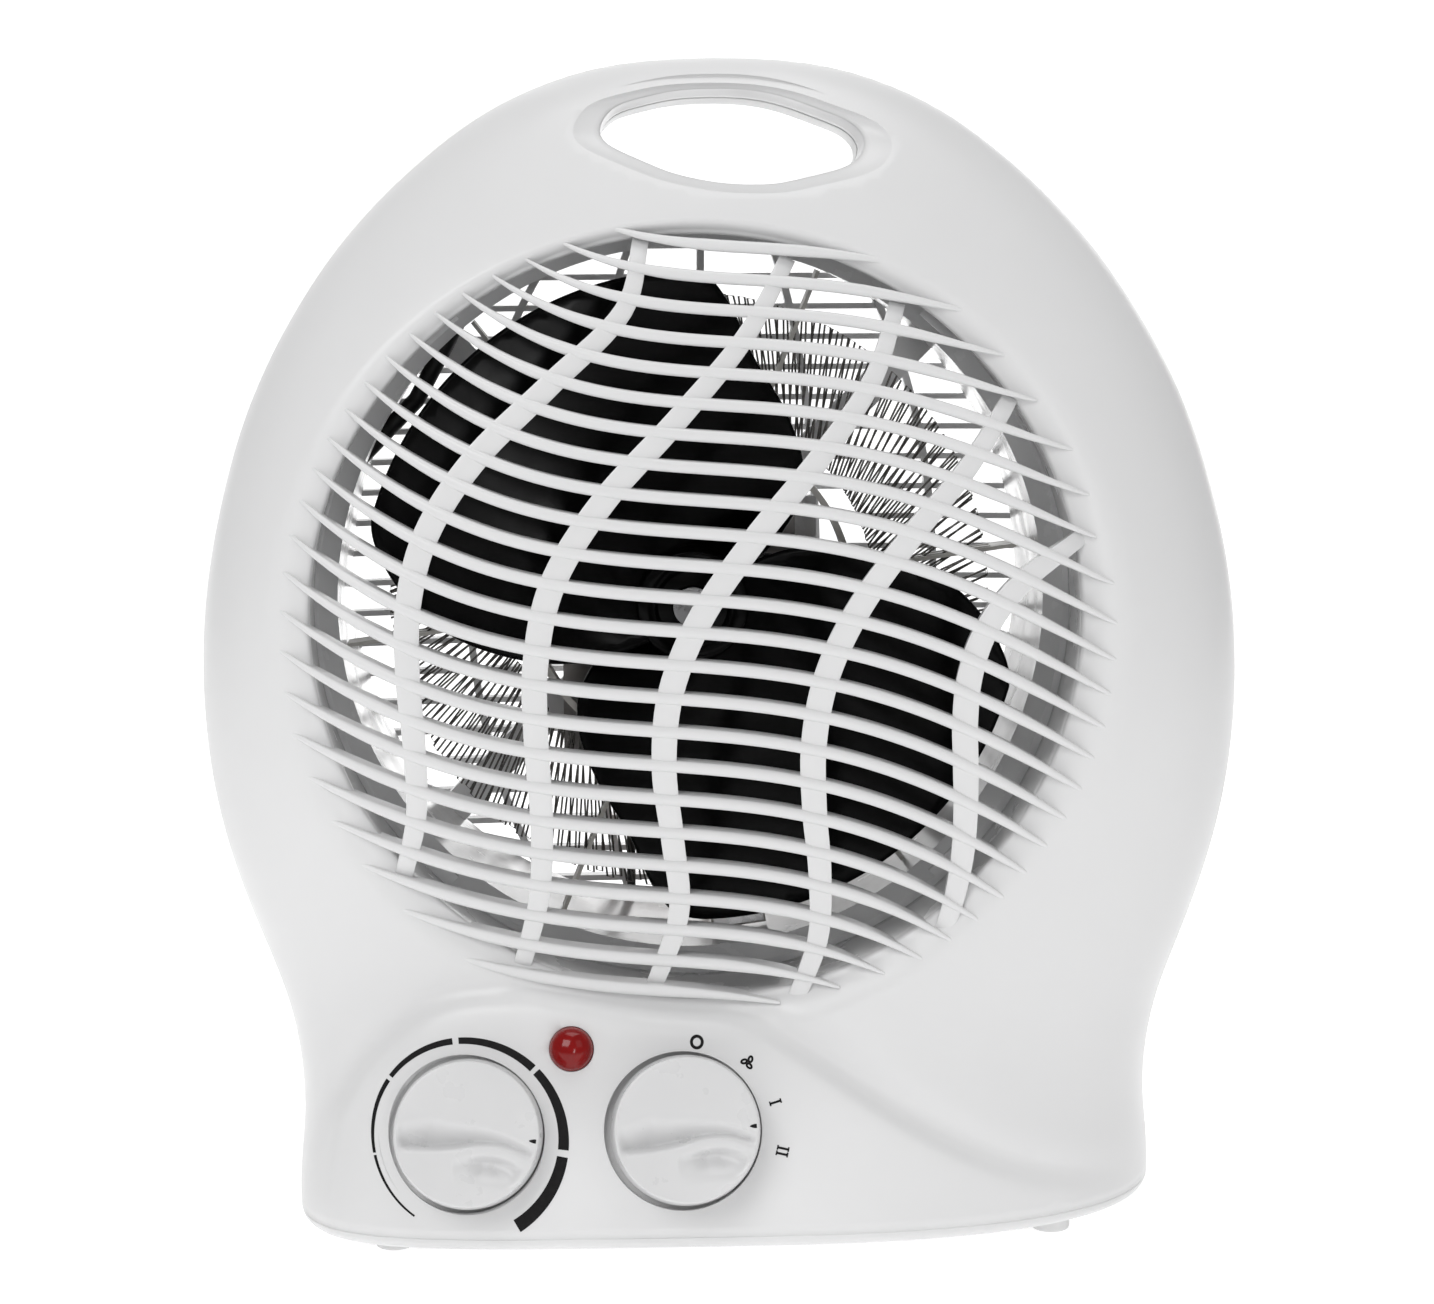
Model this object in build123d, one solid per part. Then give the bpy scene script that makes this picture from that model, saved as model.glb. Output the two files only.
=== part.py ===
from build123d import *
import math
import os
import time

os.makedirs("parts", exist_ok=True)

# ---------------------------------------------------------------------------
# Upright fan heater, millimetres, +Z up, front towards -Y.
# Everything is built about a working origin: x = 0 in the middle of the foot,
# y = 0 on the parting plane of the two covers, z = 0 under the rubber feet.
# SHIFT then moves it all so that the origin is the bottom centre of its box.
# ---------------------------------------------------------------------------

# overall
HEIGHT = 250.0            # top of the handle
BASE_Z = 3.0              # underside of the covers, above the rubber feet
WALL = 2.4                # cover wall
SHIFT = (-0.5399, 9.9428, 0.0)   # working origin to bottom centre of the box

# outline half width, squared in the spline so that the top closes round
W_TAB = [(0.0, 93.0), (12.0, 93.2), (22.0, 92.5), (32.0, 92.9), (45.0, 95.6), (60.0, 101.3),
         (78.0, 107.5), (96.0, 111.2), (115.0, 112.5), (135.0, 111.3), (155.0, 107.4),
         (175.0, 101.0), (195.0, 90.8), (212.0, 78.6), (228.0, 62.0), (240.0, 43.0), (250.0, 0.0)]
# middle line of the outline
CX_TAB = [(0.0, 1.4), (30.0, 1.2), (60.0, 0.9), (100.0, 0.6), (150.0, 0.4), (200.0, 0.0), (250.0, 0.0)]
# depth in front of the parting plane, on the middle line
DF_TAB = [(0.0, 63.2), (8.0, 61.7), (20.0, 57.4), (32.0, 53.2), (45.0, 50.0), (60.0, 48.6), (78.0, 49.5),
          (98.0, 51.7), (120.0, 53.0), (140.0, 52.8), (160.0, 50.6), (180.0, 46.4), (198.0, 40.6),
          (214.0, 33.2), (228.0, 25.4), (240.0, 17.6), (250.0, 0.0)]
# depth behind the parting plane
DR_TAB = [(0.0, 53.0), (15.0, 51.6), (30.0, 49.0), (45.0, 47.4), (60.0, 47.0), (80.0, 48.4), (105.0, 50.6),
          (130.0, 51.2), (155.0, 49.4), (178.0, 45.2), (200.0, 38.2), (220.0, 29.6), (235.0, 21.8),
          (243.0, 15.8), (250.0, 0.0)]
# control area: a flatter, slanted face that stands proud of the waist
PANEL_Y0 = 63.0           # depth at z = 4
PANEL_SLOPE = 0.268       # 15 degrees
PANEL_TILT = 15.0

# outlet, seen from the front
OUT_X, OUT_Z = -5.8, 132.0
OUT_RX, OUT_RZ = 81.5, 80.6
TIP_RX, TIP_RZ = 89.9, 83.6
TIP_X, TIP_Z = -5.0, 129.9
LOUVRE_T = 3.0            # thickness of a louvre
LOUVRE_DEPTH = 7.5        # front to back
BAR_DEPTH = 6.5
RECESS = 3.2              # step of the outer skin around the outlet

# fan, duct, motor axis
AX, AZ = -6.0, 133.0
DUCT_R = 78.0
DUCT_RI = 76.0
FAN_R = 71.0
COLLAR_Y = -20.6          # rear end of the outlet's collar
SLEEVE_R, SLEEVE_Y = 1.9, 6.5
SLEEVE_PTS = [(79.5, 160.5), (72.9, 144.5), (79.5, 127.0)]   # distance and angle about the motor axis
INLET_X, INLET_Z, INLET_R = -2.0, 131.0, 82.0
SLAT_PITCH = 7.0
CORD_X, CORD_Z = 56.0, 16.0


def spline_fn(tab):
    """Natural cubic spline through a table, as a plain function."""
    n = len(tab) - 1
    x = [p[0] for p in tab]
    a = [p[1] for p in tab]
    h = [x[i + 1] - x[i] for i in range(n)]
    al = [0.0] * (n + 1)
    for i in range(1, n):
        al[i] = 3 / h[i] * (a[i + 1] - a[i]) - 3 / h[i - 1] * (a[i] - a[i - 1])
    l, mu, zz = [1.0] + [0.0] * n, [0.0] * (n + 1), [0.0] * (n + 1)
    for i in range(1, n):
        l[i] = 2 * (x[i + 1] - x[i - 1]) - h[i - 1] * mu[i - 1]
        mu[i] = h[i] / l[i]
        zz[i] = (al[i] - h[i - 1] * zz[i - 1]) / l[i]
    c, b, d = [0.0] * (n + 1), [0.0] * n, [0.0] * n
    for j in range(n - 1, -1, -1):
        c[j] = zz[j] - mu[j] * c[j + 1]
        b[j] = (a[j + 1] - a[j]) / h[j] - h[j] * (c[j + 1] + 2 * c[j]) / 3
        d[j] = (c[j + 1] - c[j]) / (3 * h[j])

    def f(t):
        j = 0
        while j < n - 1 and t > x[j + 1]:
            j += 1
        s = t - x[j]
        return a[j] + s * (b[j] + s * (c[j] + s * d[j]))

    return f


_w2 = spline_fn([(z, v * v) for z, v in W_TAB])
_df2 = spline_fn([(z, v * v) for z, v in DF_TAB])
_dr2 = spline_fn([(z, v * v) for z, v in DR_TAB])
cx_of = spline_fn(CX_TAB)


def w_of(z):
    return math.sqrt(max(_w2(z), 0.0))


def df_of(z):
    return math.sqrt(max(_df2(z), 0.0))


def dr_of(z):
    return math.sqrt(max(_dr2(z), 0.0))


def blend(z, a, b):
    t = min(1.0, max(0.0, (z - a) / (b - a)))
    return t * t * (3 - 2 * t)


def n_left(z):
    return 5.0 + (3.0 - 5.0) * blend(z, 5, 62) + (2.5 - 3.0) * blend(z, 170, 245)


def n_right(z):
    return 2.6 + (3.0 - 2.6) * blend(z, 5, 62) + (2.5 - 3.0) * blend(z, 170, 245)


def n_rear(z):
    return 3.2 + (2.5 - 3.2) * blend(z, 150, 245)


def _quadrant(w, d, n, k):
    """k + 1 points from the side (w, 0) to the middle (0, d) of a superellipse, evenly spaced."""
    m = 60
    fine = []
    for i in range(m + 1):
        t = 0.5 * math.pi * i / m
        c, s = max(math.cos(t), 0.0), max(math.sin(t), 0.0)
        c = 0.0 if c < 1e-9 else c
        s = 0.0 if s < 1e-9 else s
        fine.append((w * c ** (2 / n), d * s ** (2 / n)))
    cum = [0.0]
    for p, q in zip(fine, fine[1:]):
        cum.append(cum[-1] + math.hypot(q[0] - p[0], q[1] - p[1]))
    out = []
    j = 0
    for i in range(k + 1):
        # closer together near the side, where the curve is tightest
        f = i / k
        target = cum[-1] * (0.55 * f + 0.45 * f * f)
        while j < m - 1 and cum[j + 1] < target:
            j += 1
        u = (target - cum[j]) / (cum[j + 1] - cum[j])
        out.append((fine[j][0] + u * (fine[j + 1][0] - fine[j][0]), fine[j][1] + u * (fine[j + 1][1] - fine[j][1])))
    return out


QN = 14


def height_levels(n, z0, z1):
    """n + 1 heights, evenly spaced along the side outline."""
    m = 4000
    zs = [z0 + (z1 - z0) * i / m for i in range(m + 1)]
    cum = [0.0]
    for p, q in zip(zs, zs[1:]):
        cum.append(cum[-1] + math.hypot(q - p, w_of(q) - w_of(p)))
    out, j = [], 0
    for i in range(n + 1):
        t = cum[-1] * i / n
        while j < m - 1 and cum[j + 1] < t:
            j += 1
        out.append(zs[j] + (zs[j + 1] - zs[j]) * (t - cum[j]) / (cum[j + 1] - cum[j]))
    return out


TAIL = 2.0               # how far a sheet runs on past the face that trims it
LEVELS = height_levels(26, 1.0, 249.2)
PANEL_LEVELS = height_levels(8, 1.0, 82.0)


def half_sheet(side, inset, depth_of, skirt, levels):
    """Outer face of one half as one smooth sheet, running on past the parting plane."""
    bottom, top = BASE_Z + inset, HEIGHT - inset
    tail = skirt + TAIL
    rows = []
    for z in levels:
        zz = bottom + (z - BASE_Z) * (top - bottom) / (HEIGHT - BASE_Z)
        zq = zz if inset == 0 else min(zz + inset * blend(zz, 120, 246), 249.4)
        k = inset * (1 - 0.35 * blend(zz, 200, 246))
        w, cx, d = w_of(zq) - k, cx_of(zq), depth_of(zq) - k
        na, nb = (n_right(zq), n_left(zq)) if side < 0 else (n_rear(zq), n_rear(zq))
        right, left = _quadrant(w, d, na, QN), _quadrant(w, d, nb, QN)
        rows.append([Vector(cx + w, -side * tail, zz)] + [Vector(cx + x, side * y, zz) for x, y in right]
                    + [Vector(cx - x, side * y, zz) for x, y in reversed(left[:-1])]
                    + [Vector(cx - w, -side * tail, zz)])
    return Face.make_surface_from_array_of_points(rows, tol=0.03, min_deg=3, max_deg=3)


def half_body(side, inset=0.0, depth_of=None, skirt=0.0):
    """One half of the outer body, or the same pulled in by inset on all sides."""
    panel = depth_of is not None
    depth_of = depth_of or (df_of if side < 0 else dr_of)
    sheet = half_sheet(side, inset, depth_of, skirt, PANEL_LEVELS if panel else LEVELS)
    y0, y1 = sorted((-side * skirt, side * 90.0))
    bottom = BASE_Z + inset
    top = 72.0 if panel else bottom + (248.8 - BASE_Z) * (HEIGHT - inset - bottom) / (HEIGHT - BASE_Z)
    pieces = block(-130.0, 130.0, y0, y1, bottom, top).split(sheet, keep=Keep.ALL).solids()
    body = [q for q in pieces if q.is_inside(Vector(0, side * 10.0, 60.0))][0]
    if inset == 0 and not panel:
        foot = [e for e in body.edges() if abs((e @ 0.5).Z - bottom) < 0.01 and abs((e @ 0.5).Y) > 1.0]
        try:
            body = fillet(foot, 2.4)
        except Exception:
            log("foot edge left sharp", body)
    return body


def panel_depth(z):
    return PANEL_Y0 - PANEL_SLOPE * (z - 4.0)


def panel_depth_of(z):
    return panel_depth(z)


def face_y(x, z, depth_of=None):
    """Depth of the front skin (positive forward) at a point seen from the front."""
    depth_of = depth_of or df_of
    u = (x - cx_of(z)) / w_of(z)
    n = n_right(z) if u > 0 else n_left(z)
    return depth_of(z) * max(1 - abs(u) ** n, 0.0) ** (1 / n)


def rear_y(x, z):
    u = (x - cx_of(z)) / w_of(z)
    n = n_rear(z)
    return dr_of(z) * max(1 - abs(u) ** n, 0.0) ** (1 / n)


def prism(sk, y0, y1):
    """Extrude a sketch drawn with (x, z) as its own (x, y) from y0 to y1."""
    pl = Plane(origin=(0, y0, 0), x_dir=(1, 0, 0), z_dir=(0, -1, 0))
    face = pl * sk
    return extrude(face, amount=-(y1 - y0))


def ellipse(cx, cz, rx, rz):
    return Pos(cx, cz) * Ellipse(rx, rz)


def rod(x, z, r, y0, y1):
    """Round bar along Y."""
    return Pos(x, (y0 + y1) / 2, z) * Rot(90, 0, 0) * Cylinder(r, abs(y1 - y0))


def ring(x, z, r1, r2, y0, y1):
    return rod(x, z, r1, y0, y1) - rod(x, z, r2, min(y0, y1) - 1, max(y0, y1) + 1)


def block(x0, x1, y0, y1, z0, z1):
    return Pos((x0 + x1) / 2, (y0 + y1) / 2, (z0 + z1) / 2) * Box(x1 - x0, y1 - y0, z1 - z0)


def polar(r, deg, cx=None, cz=None):
    cx = AX if cx is None else cx
    cz = AZ if cz is None else cz
    a = math.radians(deg)
    return cx + r * math.cos(a), cz + r * math.sin(a)


def tube(pts, r):
    """Round lead along a chain of points."""
    out = None
    for p, q in zip(pts, pts[1:]):
        p, q = Vector(*p), Vector(*q)
        seg = Solid.make_cylinder(r, (q - p).length, Plane(origin=p, z_dir=(q - p).normalized()))
        out = seg if out is None else out + seg + Pos(p.X, p.Y, p.Z) * Sphere(r)
    return out


def one(shape):
    """Largest solid of a result, so that a moulding stays one solid."""
    sol = sorted(shape.solids(), key=lambda q: q.volume)
    return sol[-1]


# --- louvres: one family of S-curves ---------------------------------------
LOUVRES = 24
LX0 = -6.5
L_Z = [133.81, -79.71, -5.25, 1.67, 3.19]
L_C = [[-6.69, -1.84, -1.36, 2.91], [-3.47, -15.83, 12.11, -0.05], [-24.15, 9.31, -21.35, 0.76],
       [4.06, -0.94, -5.02, -11.1], [4.6, -0.6, 9.31, -9.39]]


def louvre_z(x, k):
    t = (k - 11.5) / 11.5
    u = (x - LX0) / 80.0
    z = sum(c * t ** j for j, c in enumerate(L_Z))
    for i, row in enumerate(L_C):
        z += u ** (i + 1) * sum(c * t ** j for j, c in enumerate(row))
    return z


# the five cross bars, centre lines as (x, z), bottom to top
BARS = [
    [(-67.9, 76.9), (-64.5, 91.8), (-64.6, 106.7), (-65.7, 121.6), (-65.3, 136.4), (-61.1, 151.3), (-51.1, 166.2),
     (-35.6, 181.1), (-20.3, 196.0), (-16.3, 210.9)],
    [(-43.2, 58.4), (-39.1, 74.9), (-38.4, 91.4), (-39.3, 107.8), (-39.2, 124.3), (-35.4, 140.8), (-25.0, 157.2),
     (-9.6, 173.7), (4.6, 190.2), (14.2, 206.6)],
    [(-15.3, 54.9), (-10.0, 70.7), (-11.2, 86.5), (-12.9, 102.3), (-11.3, 118.2), (-4.7, 134.0), (6.5, 149.8),
     (19.6, 165.6), (30.9, 181.4), (36.8, 197.2)],
    [(14.1, 50.9), (19.1, 65.0), (19.5, 79.0), (18.3, 93.1), (18.2, 107.2), (21.0, 121.3), (27.8, 135.3),
     (38.4, 149.4), (50.6, 163.5), (60.1, 177.6)],
    [(44.8, 63.1), (47.8, 72.7), (49.5, 82.3), (50.0, 91.9), (49.9, 101.5), (49.7, 111.0), (50.7, 120.6),
     (54.2, 130.2), (61.9, 139.8), (75.8, 149.4)],
]


def strip(pts, half_of):
    """Closed ribbon about a centre line, half_of(i, n) gives its half width."""
    n = len(pts)
    up, dn = [], []
    for i, (x, z) in enumerate(pts):
        a = pts[max(i - 1, 0)]
        b = pts[min(i + 1, n - 1)]
        tx, tz = b[0] - a[0], b[1] - a[1]
        m = math.hypot(tx, tz)
        nx, nz = -tz / m, tx / m
        h = half_of(i, n)
        up.append((x + nx * h, z + nz * h))
        dn.append((x - nx * h, z - nz * h))
    top = Edge.make_spline([Vector(*p, 0) for p in up])
    bot = Edge.make_spline([Vector(*p, 0) for p in dn])
    return make_face([top, bot, Edge.make_line(top @ 0, bot @ 0), Edge.make_line(top @ 1, bot @ 1)])


def louvre_pts(k, grow=0.0):
    """Centre line of louvre k between its tips on the tip ellipse."""
    xs = [-100 + i * 1.0 for i in range(201)]
    inside = [x for x in xs if ((x - TIP_X) / (TIP_RX + grow)) ** 2 + ((louvre_z(x, k) - TIP_Z) / (TIP_RZ + grow)) ** 2 < 1]
    x0, x1 = inside[0], inside[-1]
    m = 9
    return [(x0 + (x1 - x0) * i / (m - 1), louvre_z(x0 + (x1 - x0) * i / (m - 1), k)) for i in range(m)]


# --- control axes: they stand square to the slanted control face ----------
TILT = math.radians(PANEL_TILT)
KNOB_N = Vector(0, -math.cos(TILT), math.sin(TILT))
KNOB_L = Vector(-54.4, -55.0, 26.1)
KNOB_R = Vector(-9.2, -56.4, 26.6)
LENS_P = Vector(-32.8, -52.1, 43.2)
KNOB_RADIUS = 15.7
KNOB_H = 12.6
SEAT = 0.9               # depth of the round seat under each knob


def on_axis(p, obj):
    """Place a shape drawn along +Z so that +Z is the control axis at p."""
    return Plane(origin=p, x_dir=(1, 0, 0), z_dir=KNOB_N) * obj


def cyl(r, h, z0=0.0):
    return Pos(0, 0, z0 + h / 2) * Cylinder(r, h)


SWOOSH = [(-84.5, 12.4), (-82.6, 24.5), (-74.7, 38.7), (-59.2, 50.3), (-34.0, 52.4), (-12.0, 50.2), (7.0, 44.1),
          (29.4, 30.2), (50.2, 17.9), (79.4, 7.8)]
SLOT = [(-25.0, 233.3), (-22.0, 237.9), (-9.0, 241.2), (2.9, 241.8), (15.3, 239.8), (28.1, 234.9), (31.7, 230.4),
        (27.6, 225.4), (11.9, 221.9), (-1.9, 222.5), (-14.6, 226.3), (-24.2, 230.6)]


def slot_sketch(grow=0.0, drop=0.0):
    cx, cz = 3.3, 231.5
    pts = [Vector(cx + (x - cx) * (1 + grow / 28.0), cz - drop + (z - cz) * (1 + grow / 10.0), 0) for x, z in SLOT]
    return make_face(Edge.make_spline(pts, periodic=True))


COVER_SCREWS = [(-80.0, 31.0), (80.0, 31.0), (-98.5, 140.0), (95.5, 140.0)]
DUCT_EARS = [48.0, 132.0, 226.0, 314.0]
EAR_R = 86.0
EAR_Y = -20.0
ARM_DEG = [45.0, 135.0, 225.0, 315.0]

# the gentle dome the louvres follow: depth as powers of the offsets from its
# middle, in units of 90 mm
DOME = {(0, 0): 53.12, (0, 1): -1.29, (0, 2): -17.01, (0, 3): -3.72, (0, 4): -0.3, (0, 5): -5.36, (0, 6): 10.15,
        (0, 7): -0.52, (0, 8): -5.55, (1, 0): 0.23, (1, 1): -0.02, (1, 2): 0.01, (1, 3): 0.26, (1, 4): 1.09,
        (1, 5): -0.84, (1, 6): -0.92, (1, 7): 1.25, (2, 0): -2.04, (2, 1): -0.94, (2, 2): -1.34, (2, 3): 2.1,
        (2, 4): -1.44, (2, 5): -5.15, (2, 6): -1.96, (3, 0): 3.4, (3, 1): 0.96, (3, 2): -0.55, (3, 3): -1.8,
        (3, 4): 2.04, (3, 5): 1.97, (4, 0): -13.68, (4, 1): -0.29, (4, 2): 0.37, (4, 3): -2.58, (4, 4): -8.79,
        (5, 0): -3.56, (5, 1): -1.72, (5, 2): 2.48, (5, 3): 1.67, (6, 0): 9.62, (6, 1): -2.1, (6, 2): -5.79,
        (7, 0): 2.76, (7, 1): 1.71, (8, 0): -5.86}


def dome(x, z):
    u, v = (x - TIP_X) / 90.0, (z - TIP_Z) / 90.0
    return sum(c * u ** i * v ** j for (i, j), c in DOME.items())


def bezier_net(coef, n, lu, lv):
    """Control heights of the polynomial in (u, v) over |u| <= lu, |v| <= lv, degree n both ways."""
    a = [[0.0] * (n + 1) for _ in range(n + 1)]
    for (i, j), c in coef.items():
        for k in range(i + 1):
            ck = math.comb(i, k) * (-lu) ** (i - k) * (2 * lu) ** k
            for m in range(j + 1):
                cm = math.comb(j, m) * (-lv) ** (j - m) * (2 * lv) ** m
                a[k][m] += c * ck * cm
    net = []
    for i in range(n + 1):
        row = []
        for j in range(n + 1):
            v = 0.0
            for k in range(i + 1):
                for m in range(j + 1):
                    v += math.comb(i, k) / math.comb(n, k) * math.comb(j, m) / math.comb(n, m) * a[k][m]
            row.append(v)
        net.append(row)
    return net


def dome_slab(a, b):
    """Solid between the dome set back by a and the dome set back by b, over a square of the front."""
    lu, lv = 96.0 / 90.0, 92.0 / 90.0
    net = bezier_net(DOME, 8, lu, lv)
    pts = [[Vector(TIP_X - 96.0 + 192.0 * i / 8, -net[i][j], TIP_Z - 92.0 + 184.0 * j / 8) for j in range(9)]
           for i in range(9)]
    f = Face.make_bezier_surface(pts)
    return extrude(f.moved(Location((0, a, 0))), amount=b - a, dir=(0, 1, 0))


# ---------------------------------------------------------------- front cover
def front_cover():
    outer = half_body(-1)
    inner = half_body(-1, WALL, skirt=2.0)
    # slanted control face, proud of the waist below the swoosh
    sw = make_face([Edge.make_spline([Vector(x, z, 0) for x, z in SWOOSH]),
                    Edge.make_line(Vector(79.4, 7.8, 0), Vector(79.4, 2.0, 0)),
                    Edge.make_line(Vector(79.4, 2.0, 0), Vector(-84.5, 2.0, 0)),
                    Edge.make_line(Vector(-84.5, 2.0, 0), Vector(-84.5, 12.4, 0))])
    panel_body = half_body(-1, depth_of=panel_depth_of)
    skin = outer + (panel_body & prism(sw, -90, -20))
    skin = skin - inner
    log("skin", skin)
    # carrying slot: tunnel wall, then the slot itself
    skin = skin + (prism(slot_sketch(4.6), -60, 0) & outer)
    skin = skin - slot_cut(-1)
    log("slot", skin)
    # round outlet with a stepped-in rim
    tip = ellipse(TIP_X, TIP_Z, TIP_RX, TIP_RZ)
    lip = ellipse(TIP_X, TIP_Z, TIP_RX + 2.2, TIP_RZ + 2.2)
    hole = ellipse(OUT_X, OUT_Z, OUT_RX, OUT_RZ)
    skin = skin - (prism(tip, -90, -8) & dome_slab(-30, RECESS))
    skin = skin + (prism(lip - hole, -90, -8) & dome_slab(RECESS, RECESS + WALL + 0.4))
    skin = skin - prism(hole, -90, -8)
    # short collar that leads the air from the duct to the outlet
    collar = ellipse(OUT_X, OUT_Z, OUT_RX + 1.8, OUT_RZ + 1.8)
    skin = skin + (prism(collar - hole, -80, COLLAR_Y) & dome_slab(RECESS, 75.0))
    log("outlet", skin)
    # bosses: cover screws, duct screws, knob seats
    adds, cuts = [], []
    for x, z in COVER_SCREWS:
        adds.append(rod(x, z, 4.6, -face_y(x, z) + 1.6, 0.0))
        cuts.append(rod(x, z, 1.25, -16.0, 0.5))
    for d in DUCT_EARS:
        x, z = polar(EAR_R, d)
        adds.append(rod(x, z, 3.6, -dome(x, z) + 3.6 if math.hypot((x - TIP_X) / TIP_RX, (z - TIP_Z) / TIP_RZ) < 1
                        else -face_y(x, z) + 1.6, EAR_Y))
        cuts.append(rod(x, z, 1.1, EAR_Y - 5.0, EAR_Y + 1.0))
    for p in (KNOB_L, KNOB_R):
        adds.append(on_axis(p, cyl(KNOB_RADIUS + 2.2, 2.6, -SEAT - 2.6)))
        for sx in (-13.5, 13.5):
            adds.append(on_axis(p, Pos(sx, 0, 0) * cyl(3.0, 6.0, -9.0)))
            cuts.append(on_axis(p, Pos(sx, 0, 0) * cyl(1.0, 5.0, -9.1)))
        cuts.append(on_axis(p, cyl(KNOB_RADIUS + 0.9, 30.0, -SEAT)))
        cuts.append(on_axis(p, cyl(4.2, 20.0, -12.0)))
    adds.append(on_axis(LENS_P, cyl(6.0, 3.0, -3.6)))
    cuts.append(on_axis(LENS_P, cyl(4.7, 8.0, -0.6)))
    cuts.append(on_axis(LENS_P, cyl(4.0, 20.0, -10.0)))
    body = outer + (panel_body & prism(sw, -90, -20))
    for q in adds:
        skin = skin + (q & body)
    for q in cuts:
        skin = skin - q
    log("bosses", skin)
    # louvres and cross bars
    ribs = Sketch() + [strip(louvre_pts(k), lambda i, n: LOUVRE_T / 2 * (0.45 if i in (0, n - 1) else 1.0))
                       for k in range(LOUVRES)]
    louv = prism(ribs, -80, -8) & dome_slab(0.3, LOUVRE_DEPTH)
    bars = Sketch() + [strip(b, lambda i, n: 2.5 if 0 < i < n - 1 else 1.8) for b in BARS]
    bar = prism(bars, -80, -8) & dome_slab(1.0, BAR_DEPTH)
    log("louvres", louv)
    grille = louv + bar
    log("grille", grille)
    skin = skin + grille
    return one(skin)


def slot_cut(side):
    def w(y, sk):
        return (Plane(origin=(0, y, 0), x_dir=(1, 0, 0), z_dir=(0, -1, 0)) * sk).wire()
    if side < 0:
        return Solid.make_loft([w(-40, slot_sketch(2.4, -1.4)), w(-22, slot_sketch(0.6, -0.2)), w(0.0, slot_sketch(0.0, 1.2)),
                                w(1.0, slot_sketch(0.0, 1.2))], True)
    return Solid.make_loft([w(-1.0, slot_sketch(0.0, 1.2)), w(0.0, slot_sketch(0.0, 1.2)), w(20, slot_sketch(0.6, 2.0)),
                            w(42, slot_sketch(2.4, 3.2))], True)


# ----------------------------------------------------------------- rear cover
def rear_cover():
    outer = half_body(1)
    inner = half_body(1, WALL, skirt=2.0)
    skin = outer - inner
    hole = ellipse(INLET_X, INLET_Z, INLET_R, INLET_R - 1.0)
    skin = skin - prism(hole, 8, 80)
    skin = skin + (prism(slot_sketch(4.6), 0, 60) & outer)
    skin = skin - slot_cut(1)
    log("rear slot", skin)
    for x, z in COVER_SCREWS:
        skin = skin + (rod(x, z, 5.4, 0.0, rear_y(x, z) - 1.0) & outer)
        skin = skin - rod(x, z, 3.8, 14.0, 70.0)
        skin = skin - rod(x, z, 1.7, -1.0, 15.0)
    skin = skin + (rod(CORD_X, CORD_Z, 9.0, 41.0, 60.0) & outer)
    skin = skin - rod(CORD_X, CORD_Z, 6.1, 30.0, 70.0)
    skin = skin - rod(CORD_X, CORD_Z, 8.0, CORD_SEAT, 70.0)
    log("rear bosses", skin)
    grid = []
    for i in range(-11, 12):
        z = INLET_Z + i * SLAT_PITCH
        half = math.sqrt(max(0.0, (INLET_R + 1.2) ** 2 - (z - INLET_Z) ** 2))
        grid.append(Pos(INLET_X, z) * Rectangle(2 * half, 1.5))
    for k in (-2, -1, 0, 1, 2):
        pts = []
        for j in range(7):
            z = INLET_Z - INLET_R - 1 + (2 * INLET_R + 2) * j / 6
            pts.append((INLET_X + k * 27.0 * math.sqrt(max(0.02, 1 - ((z - INLET_Z) / 96.0) ** 2)), z))
        grid.append(strip(pts, lambda i, n: 0.95))
    grid = Sketch() + grid
    clip = ellipse(INLET_X, INLET_Z, INLET_R + 1.2, INLET_R + 0.2)
    slab = extrude(inlet_sheet().moved(Location((0, -4.4, 0))), amount=4.1, dir=(0, 1, 0))
    g = prism(grid & clip, 8, 80) & slab
    log("rear grille", g)
    skin = skin + g
    return one(skin)


def inlet_sheet():
    """The rear cover's outer surface over a square around the inlet."""
    rows = []
    for i in range(25):
        x = INLET_X - 88 + 176 * i / 24
        row = []
        for j in range(25):
            z = INLET_Z - 88 + 176 * j / 24
            u, v = (x - INLET_X) / 85.0, (z - INLET_Z) / 85.0
            r = math.hypot(u, v)
            k = 1.0 if r <= 1 else 1 / r
            xx, zz = INLET_X + (x - INLET_X) * k, INLET_Z + (z - INLET_Z) * k
            d = rear_y(xx, zz)
            if r > 1:
                k2 = k * 0.97
                d2 = rear_y(INLET_X + (x - INLET_X) * k2, INLET_Z + (z - INLET_Z) * k2)
                d += (d - d2) / 0.03 * (r - 1)
            row.append(Vector(x, d, z))
        rows.append(row)
    return Face.make_surface_from_array_of_points(rows, tol=0.1, min_deg=3, max_deg=5)


CORD_SEAT = 49.0


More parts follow.
